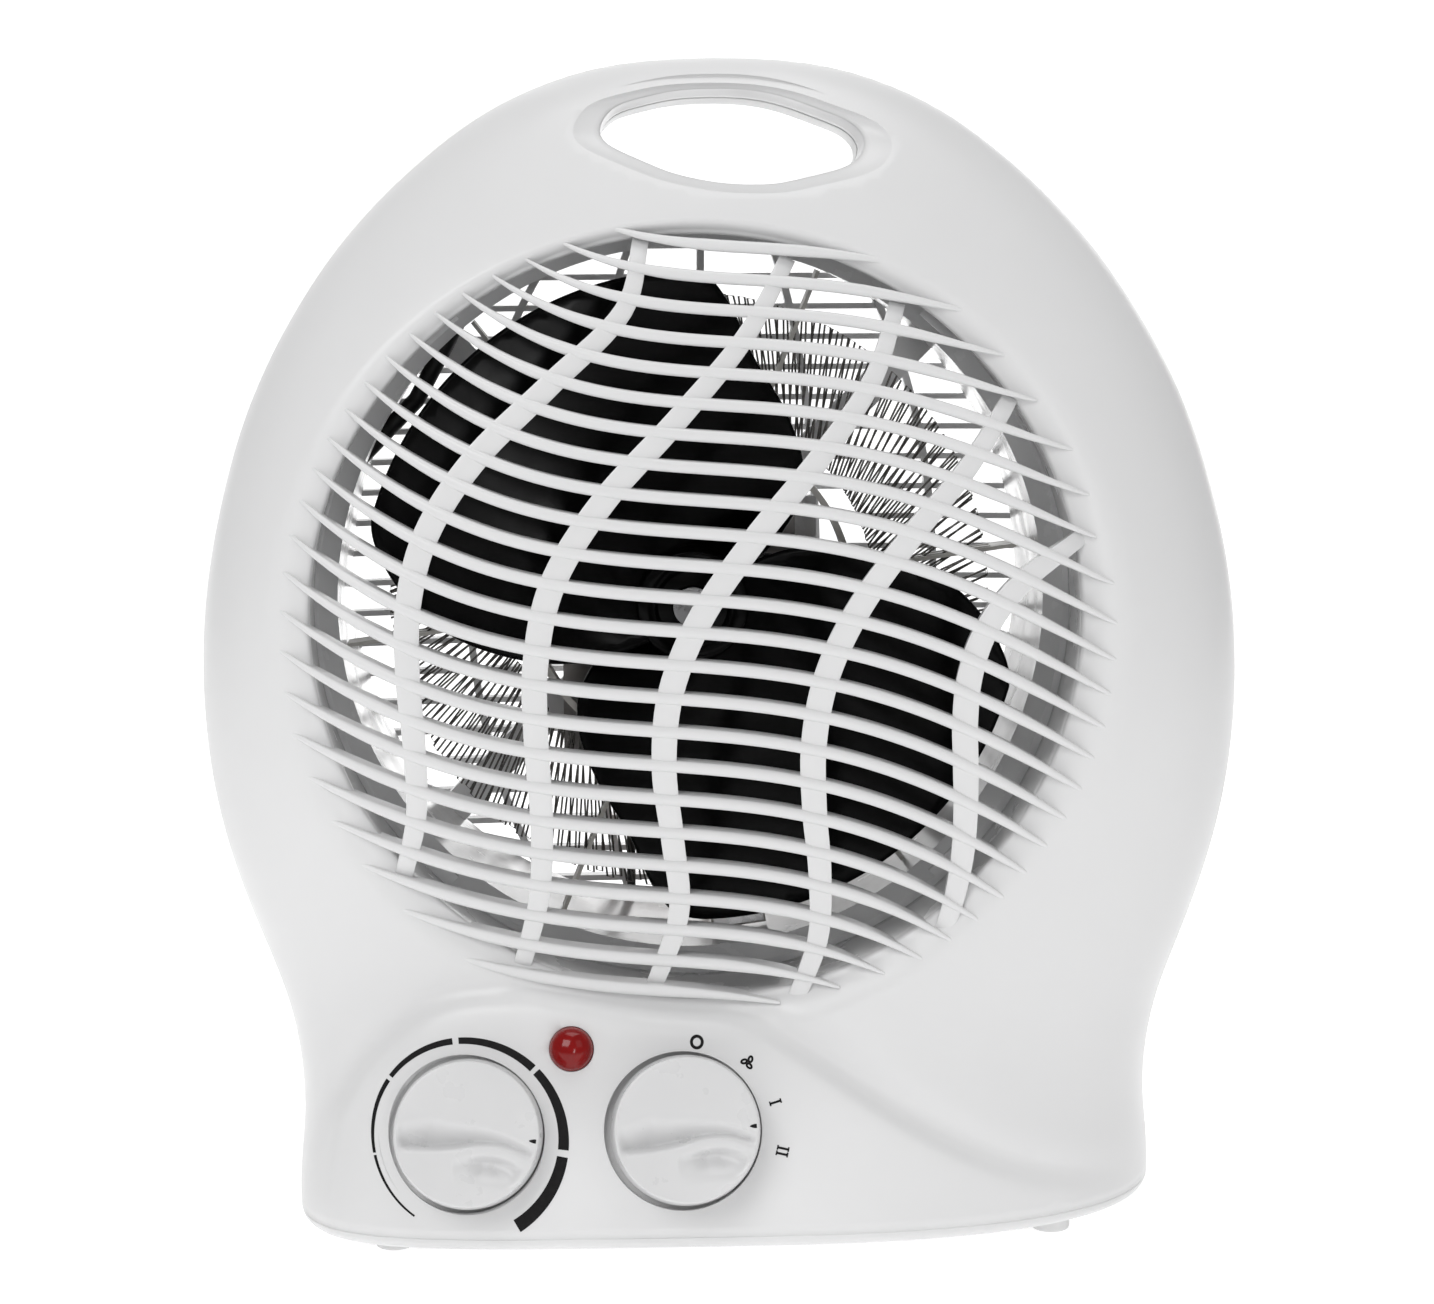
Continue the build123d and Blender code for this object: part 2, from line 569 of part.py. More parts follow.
# ------------------------------------------------------------------ fan duct
def fan_duct():
    prof = [(DUCT_RI, 36.0), (DUCT_R, 36.0), (DUCT_R, -15.0), (81.6, -19.0), (81.6, -20.0), (79.8, -20.0),
            (DUCT_RI, -16.0)]
    ringf = make_face(Polyline([Vector(r, y, 0) for r, y in prof], close=True))
    duct = Pos(AX, 0, AZ) * revolve(ringf, Axis.Y, 360)
    duct = duct if duct.volume > 0 else -duct
    for d in DUCT_EARS:
        x, z = polar(EAR_R, d)
        x0, z0 = polar(79.5, d)
        ear = rod(x, z, 4.6, EAR_Y, EAR_Y + 2.6)
        web = Pos((x + x0) / 2, EAR_Y + 1.3, (z + z0) / 2) * Rot(0, -d, 0) * Box(EAR_R - 79.5 + 3, 2.6, 9.0)
        duct = duct + ear + (web - rod(AX, AZ, 77.0, -40, 40))
        duct = duct - rod(x, z, 1.5, EAR_Y - 1, EAR_Y + 4)
    # four arms and the frame that carries the motor
    frame = block(AX - 30, AX + 30, 32.5, 35.5, AZ - 20, AZ + 18)
    for d in ARM_DEG:
        arm = Pos(*(lambda q: (q[0], 34.0, q[1]))(polar(52.0, d))) * Rot(0, -d, 0) * Box(52.0, 3.0, 7.0)
        frame = frame + arm
    frame = frame & rod(AX, AZ, DUCT_RI + 0.6, 30, 38)
    frame = frame - rod(AX, AZ, 15.0, 30, 38)
    frame = frame - block(AX - 17.5, AX + 17.5, 30, 38, AZ - 60, AZ - 16)
    duct = duct + frame
    for sx in (-21, 21):
        duct = duct - rod(AX + sx, AZ, 1.7, 30, 38)
    # its rear edge follows the inlet slats, clear of them
    duct = duct - extrude(inlet_sheet().moved(Location((0, -5.0, 0))), amount=40.0, dir=(0, 1, 0))
    # holes for the leads that pass through the wall
    duct = duct - Pos(AX - 13.0, 35.0, 57.0) * Cylinder(1.6, 12.0)
    duct = duct - sleeve_rod(SLEEVE_R + 0.25)
    return one(duct)


def sleeve_rod(r):
    """Sleeved lead that crosses the upper left of the duct behind the winding."""
    pts = []
    for rr, d in SLEEVE_PTS:
        q = polar(rr, d)
        pts.append((q[0], SLEEVE_Y, q[1]))
    return tube(pts, r)


# ----------------------------------------------------------------------- fan
BLADE = [(10.5, 4.0), (22.0, 16.0), (25.0, 27.0), (21.0, 40.0), (14.0, 52.0), (8.5, 64.0), (1.5, 70.2), (-15.0, 69.4),
         (-34.0, 62.3), (-50.0, 50.4), (-62.0, 34.6), (-68.0, 20.0), (-66.0, 9.5), (-58.0, -1.5), (-46.0, -9.0),
         (-29.0, -12.5), (-12.0, -9.0)]


def blade_y(a, r):
    """Height of the blade sheet: it twists from rear to front as the angle runs on."""
    p = (a - 75.0) / 125.0
    return -11.0 - 13.5 * p - 1.6 * math.sin(math.pi * p) * (r / FAN_R)


def fan_blade():
    hub = rod(AX, AZ, 12.0, -28.0, -8.0) + rod(AX, AZ, 5.0, -8.0, -6.2)
    hub = hub - ring(AX, AZ, 10.4, 5.0, -10.0, -7.0)
    blades = []
    rows = []
    for i in range(15):
        a = 55.0 + 165.0 * i / 14
        row = []
        for j in range(7):
            r = 4.0 + 72.0 * j / 6
            row.append(Vector(r * math.cos(math.radians(a)), blade_y(a, r), r * math.sin(math.radians(a))))
        rows.append(row)
    f = Face.make_surface_from_array_of_points(rows, tol=0.05, min_deg=3, max_deg=5)
    sheet = extrude(f.moved(Location((0, -0.8, 0))), amount=1.6, dir=(0, 1, 0))
    outline = make_face(Edge.make_spline([Vector(x, z, 0) for x, z in BLADE], periodic=True))
    b = prism(outline, -34, 0) & sheet & rod(0, 0, FAN_R, -40, 5)
    for k in range(2):
        hub = hub + Pos(AX, 0, AZ) * Rot(0, 180 * k, 0) * b
    hub = hub - rod(AX, AZ, 2.0, -40, 5)
    return one(hub)


# ------------------------------------------------------------------- element
BOARD_DEG = [8.0, 68.0, 128.0, 188.0, 248.0, 308.0]


def mica_boards():
    m = ring(AX, AZ, 36.0, 34.6, -5.0, 3.0)
    for d in BOARD_DEG:
        q = polar(55.6, d)
        bd = Pos(q[0], -1.0, q[1]) * Rot(0, -d, 0) * Box(40.0, 8.0, 0.8)
        win = Pos(*(lambda p: (p[0], -2.9, p[1]))(polar(53.0, d))) * Rot(0, -d, 0) * Box(27.6, 1.6, 3.0)
        win2 = Pos(*(lambda p: (p[0], 1.0, p[1]))(polar(53.0, d))) * Rot(0, -d, 0) * Box(27.6, 1.6, 3.0)
        m = m + (bd - win - win2)
    # flat tab for the terminals
    a = polar(55.5, 278.0)
    tab = Pos(a[0], -1.0, a[1]) * Rot(0, -278.0, 0) * Box(39.6, 0.8, 12.0)
    m = m + (tab & rod(AX, AZ, 75.9, -5, 5))
    return m


def zigzag(r0, r1, n, width, a_shift, y0, y1):
    out, inn = [], []
    for i in range(n):
        a = 360.0 * i / n
        out.append(polar(r1, a))
        inn.append(polar(r0, a + 180.0 / n + a_shift))
    pts = []
    for i in range(n):
        pts.append(out[i])
        pts.append(inn[i])
    # closed ribbon: outer and inner offset of the zig-zag
    ring_out, ring_in = [], []
    h = width / 2
    for i in range(n):
        a = 360.0 * i / n
        da = math.degrees(h / r1)
        db = math.degrees(h / r0)
        ring_out.append(polar(r1 + h, a))
        ring_out.append(polar(r0 + h * 1.6, a + 180.0 / n + a_shift))
        ring_in.append(polar(r1 - h * 1.6, a))
        ring_in.append(polar(r0 - h, a + 180.0 / n + a_shift))
    f = make_face(Polyline([Vector(x, z, 0) for x, z in ring_out], close=True))
    g = make_face(Polyline([Vector(x, z, 0) for x, z in ring_in], close=True))
    return prism(f - g, y0, y1)


def motor():
    st = block(AX - 28, AX + 28, 13.0, 31.0, AZ - 40, AZ + 17)
    st = st - rod(AX, AZ, 13.4, 12, 32)
    st = st - block(AX - 16, AX + 16, 12, 32, AZ - 30, AZ - 17)
    st = st - block(AX - 1.6, AX + 1.6, 12, 32, AZ - 18, AZ - 12)
    st = st - block(AX - 28.5, AX - 24, 12, 32, AZ + 8, AZ + 18) - block(AX + 24, AX + 28.5, 12, 32, AZ + 8, AZ + 18)
    for sx in (-21, 21):
        st = st - rod(AX + sx, AZ, 1.7, 12, 32)
    keep("motor_stator", st)
    bob = block(AX - 15.4, AX + 15.4, 12.0, 32.0, AZ - 41, AZ - 29)
    for sx in (-15.4, 13.9):
        bob = bob + block(AX + sx, AX + sx + 1.5, 6.0, 38.0, AZ - 47.2, AZ - 22.8)
    bob = bob - block(AX - 16, AX + 16, 13.0, 31.0, AZ - 40, AZ - 30)
    keep("coil_bobbin", bob)
    coil = block(AX - 13.9, AX + 13.9, 6.4, 37.6, AZ - 46.8, AZ - 23.2)
    coil = fillet(coil.edges().filter_by(Axis.X), 3.5)
    coil = coil - block(AX - 14, AX + 14, 12.0, 32.0, AZ - 41, AZ - 29)
    keep("motor_coil", coil)
    for nm, y0, y1, c0, c1 in (("motor_bracket_front", 11.5, 13.0, 5.6, 11.5), ("motor_bracket_rear", 31.0, 32.5, 32.5, 38.6)):
        b = block(AX - 26, AX + 26, y0, y1, AZ - 7, AZ + 7) + rod(AX, AZ, 7.0, min(c0, y0), max(c1, y1))
        b = b - rod(AX, AZ, 4.0, 0, 45)
        hole = 1.5 if nm.endswith("front") else 1.7
        for sx in (-21, 21):
            b = b - rod(AX + sx, AZ, hole, 0, 45)
        keep(nm, one(b))
        keep("motor_bearing_" + nm.split("_")[-1], ring(AX, AZ, 4.0, 2.05, c0, c1))
    keep("motor_rotor", ring(AX, AZ, 13.0, 2.0, 13.6, 30.4))
    keep("motor_shaft", rod(AX, AZ, 2.0, -31.0, 39.6))
    sc = [rod(AX + sx, AZ, 1.5, 9.6, 35.5) + rod(AX + sx, AZ, 3.1, 35.5, 37.9) for sx in (-21, 21)]
    keep("motor_screws", Compound(sc))
    keep("fan_clip", ring(AX, AZ, 4.2, 2.0, -29.6, -28.0))


def d_spindle(z0, z1):
    return cyl(3.0, z1 - z0, z0) - Pos(0, 4.2, z1 - 4.5) * Box(8, 4, 11)


def knob():
    """Round cap with a hub, hollow below, and two scoops in its face that leave a wavy crest."""
    k = cyl(KNOB_RADIUS, 10.3, -0.3) + cyl(KNOB_RADIUS - 0.4, KNOB_H - 10.0, 10.0)
    k = k - (cyl(13.8, 9.3, -0.4) - cyl(5.2, 9.3, -0.4))
    k = k - Pos(-4.5, 2.6, KNOB_H + 9.0 - 2.2) * Sphere(9.0)
    k = k - Pos(4.6, -7.4, KNOB_H + 6.0 - 1.6) * Sphere(6.0)
    return one(k)


def controls():
    for nm, p, ang, half, deep in (("thermostat", KNOB_L, 0.0, 9.5, -23.0), ("switch", KNOB_R, 0.0, 10.5, -26.0)):
        sp = d_spindle(-18.0, 8.0)
        kn = knob() - sp
        keep(nm + "_knob", on_axis(p, kn))
        keep(nm + "_spindle", on_axis(p, sp))
        body = Pos(0, 0, (deep - 10.5) / 2) * Box(2 * half - 1.0 if nm == "thermostat" else 2 * 9.9, 2 * half, -10.5 - deep)
        flange = Pos(0, 0, -9.75) * Box(34.0, 11.0, 1.5) + cyl(9.0, 1.5, -10.5) + cyl(6.0, 4.6, -9.2)
        b = body + flange
        b = b - cyl(3.05, 11.5, -18.4) - cyl(3.05, 8.0, -12.0)
        for sx in (-13.5, 13.5):
            b = b - Pos(sx, 0, 0) * cyl(1.3, 3.0, -11.0)
        keep("thermostat_body" if nm == "thermostat" else "rotary_switch_body", on_axis(p, one(b)))
    sc = []
    for p in (KNOB_L, KNOB_R):
        for sx in (-13.5, 13.5):
            sc.append(on_axis(p, Pos(sx, 0, 0) * (cyl(1.0, 6.1, -10.5) + cyl(2.3, 1.6, -12.1))))
    keep("control_screws", Compound(sc))
    dome_s = Pos(0, 0, -3.1) * Sphere(5.6) & cyl(4.1, 3.0, 0.2)
    lens = cyl(4.6, 0.8, -0.6) + cyl(3.95, 8.0, -8.6) + dome_s
    lens = lens - cyl(2.6, 7.0, -9.0)
    keep("neon_lens", on_axis(LENS_P, one(lens)))
    keep("neon_lamp", on_axis(LENS_P, cyl(2.6, 10.0, -12.4)))


# ------------------------------------------------- small parts and electrics
def small_parts():
    feet = [Pos(x, y, 1.5) * Cylinder(4.0, 3.0) for x, y in ((-70.5, -47.0), (69.0, -42.0), (-70.0, 34.0), (70.0, 34.0))]
    keep("feet", Compound([fillet(q.edges().filter_by(GeomType.CIRCLE).sort_by(Axis.Z)[:1], 0.8) for q in feet]))
    sc = [rod(x, z, 3.4, 14.0, 16.4) + rod(x, z, 1.25, -13.0, 14.0) for x, z in COVER_SCREWS]
    keep("cover_screws", Compound(sc))
    ds = []
    for d in DUCT_EARS:
        x, z = polar(EAR_R, d)
        ds.append(rod(x, z, 2.6, EAR_Y + 2.6, EAR_Y + 4.4) + rod(x, z, 1.1, EAR_Y - 3.5, EAR_Y + 2.6))
    keep("duct_screws", Compound(ds))
    bush = ring(CORD_X, CORD_Z, 7.9, 3.6, CORD_SEAT, CORD_SEAT + 3.4) + ring(CORD_X, CORD_Z, 6.1, 3.6, 38.0, CORD_SEAT)
    keep("cord_bush", one(bush + ring(CORD_X, CORD_Z, 7.0, 3.6, 37.0, 41.0)))
    tb = block(8, 42, 12, 26, BASE_Z + WALL, 18.0)
    for x in (14, 25, 36):
        tb = tb - (Pos(x, 19, 14) * Cylinder(1.6, 10))
    keep("terminal_block", tb)
    keep("terminal_screws", Compound([Pos(x, 19, 13.4) * Cylinder(1.6, 5.0) for x in (14, 25, 36)]))
    # terminals on the mica tab, cut-out and fuse beside them
    a = math.radians(278.0)
    ax = Vector(math.cos(a), 0, math.sin(a))
    tx = Vector(-math.sin(a), 0, math.cos(a))
    riv = []
    for r, s in ((70.5, -4.0), (70.5, 0.0), (70.5, 4.0), (37.6, 0.0)):
        q = Vector(AX, 0, AZ) + ax * r + tx * s
        riv.append(rod(q.X, q.Z, 1.2, -0.6, 3.0))
    keep("element_terminals", Compound(riv))
    q = Vector(AX, 0, AZ) + ax * 71.0 + tx * 0.0
    keep("thermal_cutout", Pos(q.X, -3.4, q.Z) * Rot(0, -278, 0) * Box(6.0, 4.0, 11.0))
    keep("thermal_fuse", Pos(AX, 22.0, AZ - 48.8) * Rot(0, 90, 0) * Cylinder(2.0, 11.0))
    leads = [
        tube([(AX - 13.0, 35.0, AZ - 49.0), (AX - 13.0, 35.0, 60.0), (AX - 13.0, 35.0, 40.0), (14.0, 19.0, 26.0),
              (14.0, 19.0, 18.0)], 1.0),
        tube([(25.0, 19.0, 18.0), (25.0, 19.0, 30.0), (0.0, -24.0, 34.0), (-9.2, -28.0, 34.5)], 1.2),
        tube([(CORD_X, 36.0, CORD_Z), (CORD_X, 30.0, CORD_Z), (36.0, 19.0, 26.0), (36.0, 19.0, 18.0)], 1.2),
    ]
    keep("internal_leads", Compound(leads))
    keep("sleeved_lead", sleeve_rod(SLEEVE_R))


t0 = time.time()


def log(name, shape):
    print(name, round(shape.volume), "solids", len(shape.solids()), round(time.time() - t0, 1), flush=True)


made = {}


def keep(name, shape):
    made[name] = shape


def main():
    keep("front_cover", front_cover())
    keep("rear_cover", rear_cover())
    keep("fan_duct", fan_duct())
    keep("fan_blade", fan_blade())
    keep("mica_boards", mica_boards())
    keep("heater_winding_front", zigzag(40.0, 66.0, 72, 0.9, 1.2, -3.35, -2.45))
    keep("heater_winding_rear", zigzag(40.0, 66.0, 72, 0.9, -1.2, 0.55, 1.45))
    motor()
    controls()
    small_parts()
    for name, shape in made.items():
        export_step(shape.moved(Location(SHIFT)), "parts/" + name + ".step", write_pcurves=False)
    print("written", len(made), round(time.time() - t0, 1))


if __name__ == "__main__":
    main()
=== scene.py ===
import bpy
import bmesh
import math
import random
import numpy as np
from mathutils import Vector, Matrix, geometry


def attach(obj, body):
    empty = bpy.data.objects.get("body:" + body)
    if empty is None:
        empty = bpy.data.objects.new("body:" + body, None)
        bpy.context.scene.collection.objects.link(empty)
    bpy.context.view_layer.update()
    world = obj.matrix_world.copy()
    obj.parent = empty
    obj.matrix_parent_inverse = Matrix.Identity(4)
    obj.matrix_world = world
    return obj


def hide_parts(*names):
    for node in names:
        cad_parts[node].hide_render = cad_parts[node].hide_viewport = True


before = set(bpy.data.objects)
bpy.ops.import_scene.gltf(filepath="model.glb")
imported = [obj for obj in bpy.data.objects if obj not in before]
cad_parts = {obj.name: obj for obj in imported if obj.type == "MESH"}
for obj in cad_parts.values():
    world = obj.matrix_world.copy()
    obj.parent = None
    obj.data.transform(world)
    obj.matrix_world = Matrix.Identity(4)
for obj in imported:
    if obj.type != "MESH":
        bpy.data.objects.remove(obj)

random.seed(7)
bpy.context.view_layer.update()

# ---------------------------------------------------------------------------
# The body surfaces are worked out in millimetres about a working origin
# (x = 0 foot middle, y = 0 parting plane, z = 0 under the feet) and moved by
# SHIFT into the row frame.
# ---------------------------------------------------------------------------
SHIFT = np.array([-0.5399, 9.9428, 0.0])

W_TAB = [(0.0, 93.0), (12.0, 93.2), (22.0, 92.5), (32.0, 92.9), (45.0, 95.6), (60.0, 101.3),
         (78.0, 107.5), (96.0, 111.2), (115.0, 112.5), (135.0, 111.3), (155.0, 107.4),
         (175.0, 101.0), (195.0, 90.8), (212.0, 78.6), (228.0, 62.2), (240.0, 44.2), (250.0, 0.0)]
CX_TAB = [(0.0, 1.4), (30.0, 1.2), (60.0, 0.9), (100.0, 0.6), (150.0, 0.4), (200.0, 0.0), (250.0, 0.0)]
DF_TAB = [(0.0, 63.2), (8.0, 61.7), (20.0, 57.4), (32.0, 53.2), (45.0, 50.0), (60.0, 48.6), (78.0, 49.5),
          (98.0, 51.7), (120.0, 53.0), (140.0, 52.8), (160.0, 50.6), (180.0, 46.4), (198.0, 40.6),
          (214.0, 33.2), (228.0, 25.4), (240.0, 17.6), (250.0, 0.0)]
DR_TAB = [(0.0, 53.0), (15.0, 51.6), (30.0, 49.0), (45.0, 47.4), (60.0, 47.0), (80.0, 48.4), (105.0, 50.6),
          (130.0, 51.2), (155.0, 49.4), (178.0, 45.2), (200.0, 38.2), (220.0, 29.6), (235.0, 21.8),
          (243.0, 15.8), (250.0, 0.0)]
TOP = 249.985          # last row of the crown, closed by a small cap
BASE = 3.0
BOT_R = 2.4            # rounding of the bottom edge

OUT_X, OUT_Z, OUT_RX, OUT_RZ = -5.8, 132.0, 81.5, 80.6
TIP_X, TIP_Z, TIP_RX, TIP_RZ = -5.0, 129.9, 89.9, 83.6
INLET_X, INLET_Z, INLET_R = -2.0, 131.0, 82.0
AX, AZ = -6.0, 133.0
COVER_SCREWS = [(-80.0, 31.0), (80.0, 31.0), (-98.5, 140.0), (95.5, 140.0)]
CORD_X, CORD_Z, CORD_SEAT = 56.0, 16.0, 49.0

SWOOSH = [(-84.5, 4.0), (-84.4, 14.0), (-82.6, 24.5), (-80.4, 30.0), (-74.7, 38.7), (-66.2, 46.8), (-59.2, 50.5),
          (-50.1, 52.1), (-34.0, 52.4), (-20.3, 51.3), (-13.6, 50.4), (-2.5, 48.4), (7.0, 44.4), (15.1, 39.6),
          (21.3, 35.6), (29.4, 30.2), (40.4, 23.4), (50.2, 18.1), (58.4, 14.3), (68.6, 10.7), (79.4, 7.8), (92.0, 5.6)]
SLOT = [(-25.0, 233.3), (-22.0, 237.9), (-15.6, 240.0), (-9.0, 241.4), (-3.3, 241.8), (2.9, 241.8), (8.8, 241.3),
        (15.3, 239.8), (23.3, 236.8), (28.1, 234.9), (30.8, 232.5), (31.7, 230.4), (30.5, 227.5), (27.6, 225.4),
        (21.6, 223.8), (16.1, 222.6), (11.9, 221.8), (3.9, 221.8), (-1.9, 222.5), (-9.4, 224.2), (-14.6, 226.3),
        (-20.0, 228.7), (-24.2, 231.0)]

TILT = math.radians(15.0)
KNOB_N = np.array([0.0, -math.cos(TILT), math.sin(TILT)])
E1 = np.array([1.0, 0.0, 0.0])
E2 = np.array([0.0, math.sin(TILT), math.cos(TILT)])
KNOB_L = np.array([-54.4, -55.0, 26.1])
KNOB_R = np.array([-9.2, -56.4, 26.6])
LENS_P = np.array([-32.8, -52.1, 43.2])
KNOB_RADIUS = 15.7

LX0 = -6.5
L_Z = [133.807, -79.705, -5.25, 1.673, 3.188]
L_C = [[-6.693, -1.839, -1.358, 2.905], [-3.472, -15.833, 12.112, -0.046], [-24.152, 9.307, -21.348, 0.763],
       [4.062, -0.936, -5.019, -11.101], [4.6, -0.598, 9.305, -9.394]]
TIPS = [(-26.1, 40.5), (-34.0, 53.4), (-40.5, 58.8), (-47.6, 65.3), (-54.2, 73.2), (-59.6, 76.2), (-65.3, 77.6),
        (-70.5, 82.6), (-74.7, 83.7), (-78.5, 84.2), (-82.4, 83.1), (-85.6, 82.8), (-88.8, 80.7), (-91.1, 78.7),
        (-92.6, 76.0), (-93.4, 71.8), (-94.2, 67.1), (-94.2, 62.2), (-93.8, 55.4), (-91.0, 49.4), (-85.7, 42.6),
        (-80.2, 33.1), (-72.8, 23.6), (-62.2, 11.0)]
BARS = [
    [(-67.9, 76.9), (-64.5, 91.8), (-64.6, 106.7), (-65.7, 121.6), (-65.3, 136.4), (-61.1, 151.3), (-51.1, 166.2),
     (-35.6, 181.1), (-20.3, 196.0), (-16.3, 210.9)],
    [(-43.2, 58.4), (-39.1, 74.9), (-38.4, 91.4), (-39.3, 107.8), (-39.2, 124.3), (-35.4, 140.8), (-25.0, 157.2),
     (-9.6, 173.7), (4.6, 190.2), (14.2, 206.6)],
    [(-15.3, 54.9), (-10.0, 70.7), (-11.2, 86.5), (-12.9, 102.3), (-11.3, 118.2), (-4.7, 134.0), (6.5, 149.8),
     (19.6, 165.6), (30.9, 181.4), (36.8, 197.2)],
    [(14.1, 50.9), (19.1, 65.0), (19.5, 79.0), (18.3, 93.1), (18.2, 107.2), (21.0, 121.3), (27.8, 135.3),
     (38.4, 149.4), (50.6, 163.5), (60.1, 177.6)],
    [(44.8, 63.1), (47.8, 72.7), (49.5, 82.3), (50.0, 91.9), (49.9, 101.5), (49.7, 111.0), (50.7, 120.6),
     (54.2, 130.2), (61.9, 139.8), (75.8, 149.4)],
]


# ------------------------------------------------------------------- numbers
def natural(tab, square):
    """Natural cubic spline through a table, vectorised."""
    x = np.array([p[0] for p in tab], float)
    a = np.array([p[1] for p in tab], float)
    if square:
        a = a * a
    n = len(x) - 1
    h = np.diff(x)
    A = np.zeros((n + 1, n + 1))
    b = np.zeros(n + 1)
    A[0, 0] = A[n, n] = 1.0
    for i in range(1, n):
        A[i, i - 1], A[i, i], A[i, i + 1] = h[i - 1], 2 * (h[i - 1] + h[i]), h[i]
        b[i] = 3 * ((a[i + 1] - a[i]) / h[i] - (a[i] - a[i - 1]) / h[i - 1])
    c = np.linalg.solve(A, b)
    d = np.diff(c) / (3 * h)
    bb = np.diff(a) / h - h * (2 * c[:-1] + c[1:]) / 3

    def f(t):
        t = np.asarray(t, float)
        j = np.clip(np.searchsorted(x, t, side="right") - 1, 0, n - 1)
        s = t - x[j]
        v = a[j] + s * (bb[j] + s * (c[j] + s * d[j]))
        return np.sqrt(np.maximum(v, 0.0)) if square else v

    return f


w_of = natural(W_TAB, True)
df_of = natural(DF_TAB, True)
dr_of = natural(DR_TAB, True)
cx_of = natural(CX_TAB, False)


def blend(z, a, b):
    t = np.clip((np.asarray(z, float) - a) / (b - a), 0, 1)
    return t * t * (3 - 2 * t)


def lower(z):
    """The crown is eased down so that it ends at 248.8."""
    z = np.asarray(z, float)
    t = np.clip((z - 240.0) / 10.0, 0, 1)
    k = np.clip((z - 242.0) / 8.0, 0, 1)
    return z - 1.22 * t ** 3 + 1.2 * k * k * (1 - k)


def n_left(z):
    return 5.0 - 2.0 * blend(z, 5, 62) - 0.5 * blend(z, 170, 245)


def n_right(z):
    return 2.6 + 0.4 * blend(z, 5, 62) - 0.5 * blend(z, 170, 245)


def n_rear(z):
    return 3.2 - 0.7 * blend(z, 150, 245)


def resample(pts, step=None, n=None, closed=False):
    """Points evenly spaced along a Catmull-Rom curve through pts."""
    p = np.array(pts, float)
    if closed:
        q = np.vstack([p[-1:], p, p[:2]])
    else:
        q = np.vstack([2 * p[0] - p[1], p, 2 * p[-1] - p[-2]])
    out = []
    for i in range(1, len(q) - 2):
        for t in np.linspace(0, 1, 24, endpoint=False):
            a, b, c, d = q[i - 1], q[i], q[i + 1], q[i + 2]
            out.append(0.5 * ((2 * b) + (-a + c) * t + (2 * a - 5 * b + 4 * c - d) * t * t
                              + (-a + 3 * b - 3 * c + d) * t ** 3))
    if not closed:
        out.append(q[-2])
    out = np.array(out)
    if closed:
        out = np.vstack([out, out[:1]])
    seg = np.linalg.norm(np.diff(out, axis=0), axis=1)
    cum = np.concatenate([[0], np.cumsum(seg)])
    if n is None:
        n = max(4, int(round(cum[-1] / step)))
    t = np.linspace(0, cum[-1], n + (1 if closed else 0))
    r = np.stack([np.interp(t, cum, out[:, k]) for k in range(p.shape[1])], 1)
    return r[:-1] if closed else r


def smooth_closed(pts, rounds=3):
    p = np.array(pts, float)
    for _ in range(rounds):
        p = 0.25 * np.roll(p, 1, 0) + 0.5 * p + 0.25 * np.roll(p, -1, 0)
    return p


def signed_distance(px, pz, line):
    """Distance from points to an open polyline, positive below and to the right of its run."""
    P = np.stack([px, pz], 1)
    best = np.full(len(P), 1e9)
    sign = np.ones(len(P))
    for a, b in zip(line[:-1], line[1:]):
        ab = b - a
        L2 = float(ab @ ab) + 1e-12
        t = np.clip(((P - a) @ ab) / L2, 0, 1)
        q = a + t[:, None] * ab
        d = np.linalg.norm(P - q, axis=1)
        cr = ab[0] * (P[:, 1] - a[1]) - ab[1] * (P[:, 0] - a[0])
        m = d < best
        best = np.where(m, d, best)
        sign = np.where(m, np.where(cr < 0, 1.0, -1.0), sign)
    return best * sign


def inside_poly(px, pz, poly):
    inside = np.zeros(len(px), bool)
    n = len(poly)
    for i in range(n):
        x1, z1 = poly[i]
        x2, z2 = poly[(i + 1) % n]
        if z1 == z2:
            continue
        cond = ((z1 > pz) != (z2 > pz)) & (px < (x2 - x1) * (pz - z1) / (z2 - z1) + x1)
        inside ^= cond
    return inside


SW_LINE = resample(SWOOSH, step=1.0)


def panel_add(x, z):
    """How far the slanted control face stands out of the waist at (x, z)."""
    x = np.atleast_1d(np.asarray(x, float))
    z = np.atleast_1d(np.asarray(z, float))
    d = signed_distance(x, z, SW_LINE)
    t = np.clip((d + 2.6) / 3.4, 0, 1)
    wgt = t * t * (3 - 2 * t)
    add = (63.0 - 0.268 * (z - 4.0)) - df_of(z)
    add = np.where(z < 62, np.maximum(add, 0.0), 0.0)
    lift = 1.1 * np.exp(-((d - 0.2) / 5.0) ** 2) * blend(z, 10, 30)
    # a shallow valley just above the crease makes the edge read
    dip = -1.3 * np.exp(-((d + 3.4) / 3.0) ** 2) * blend(z, 6, 16)
    return (add + 0.0 * lift) * wgt + dip


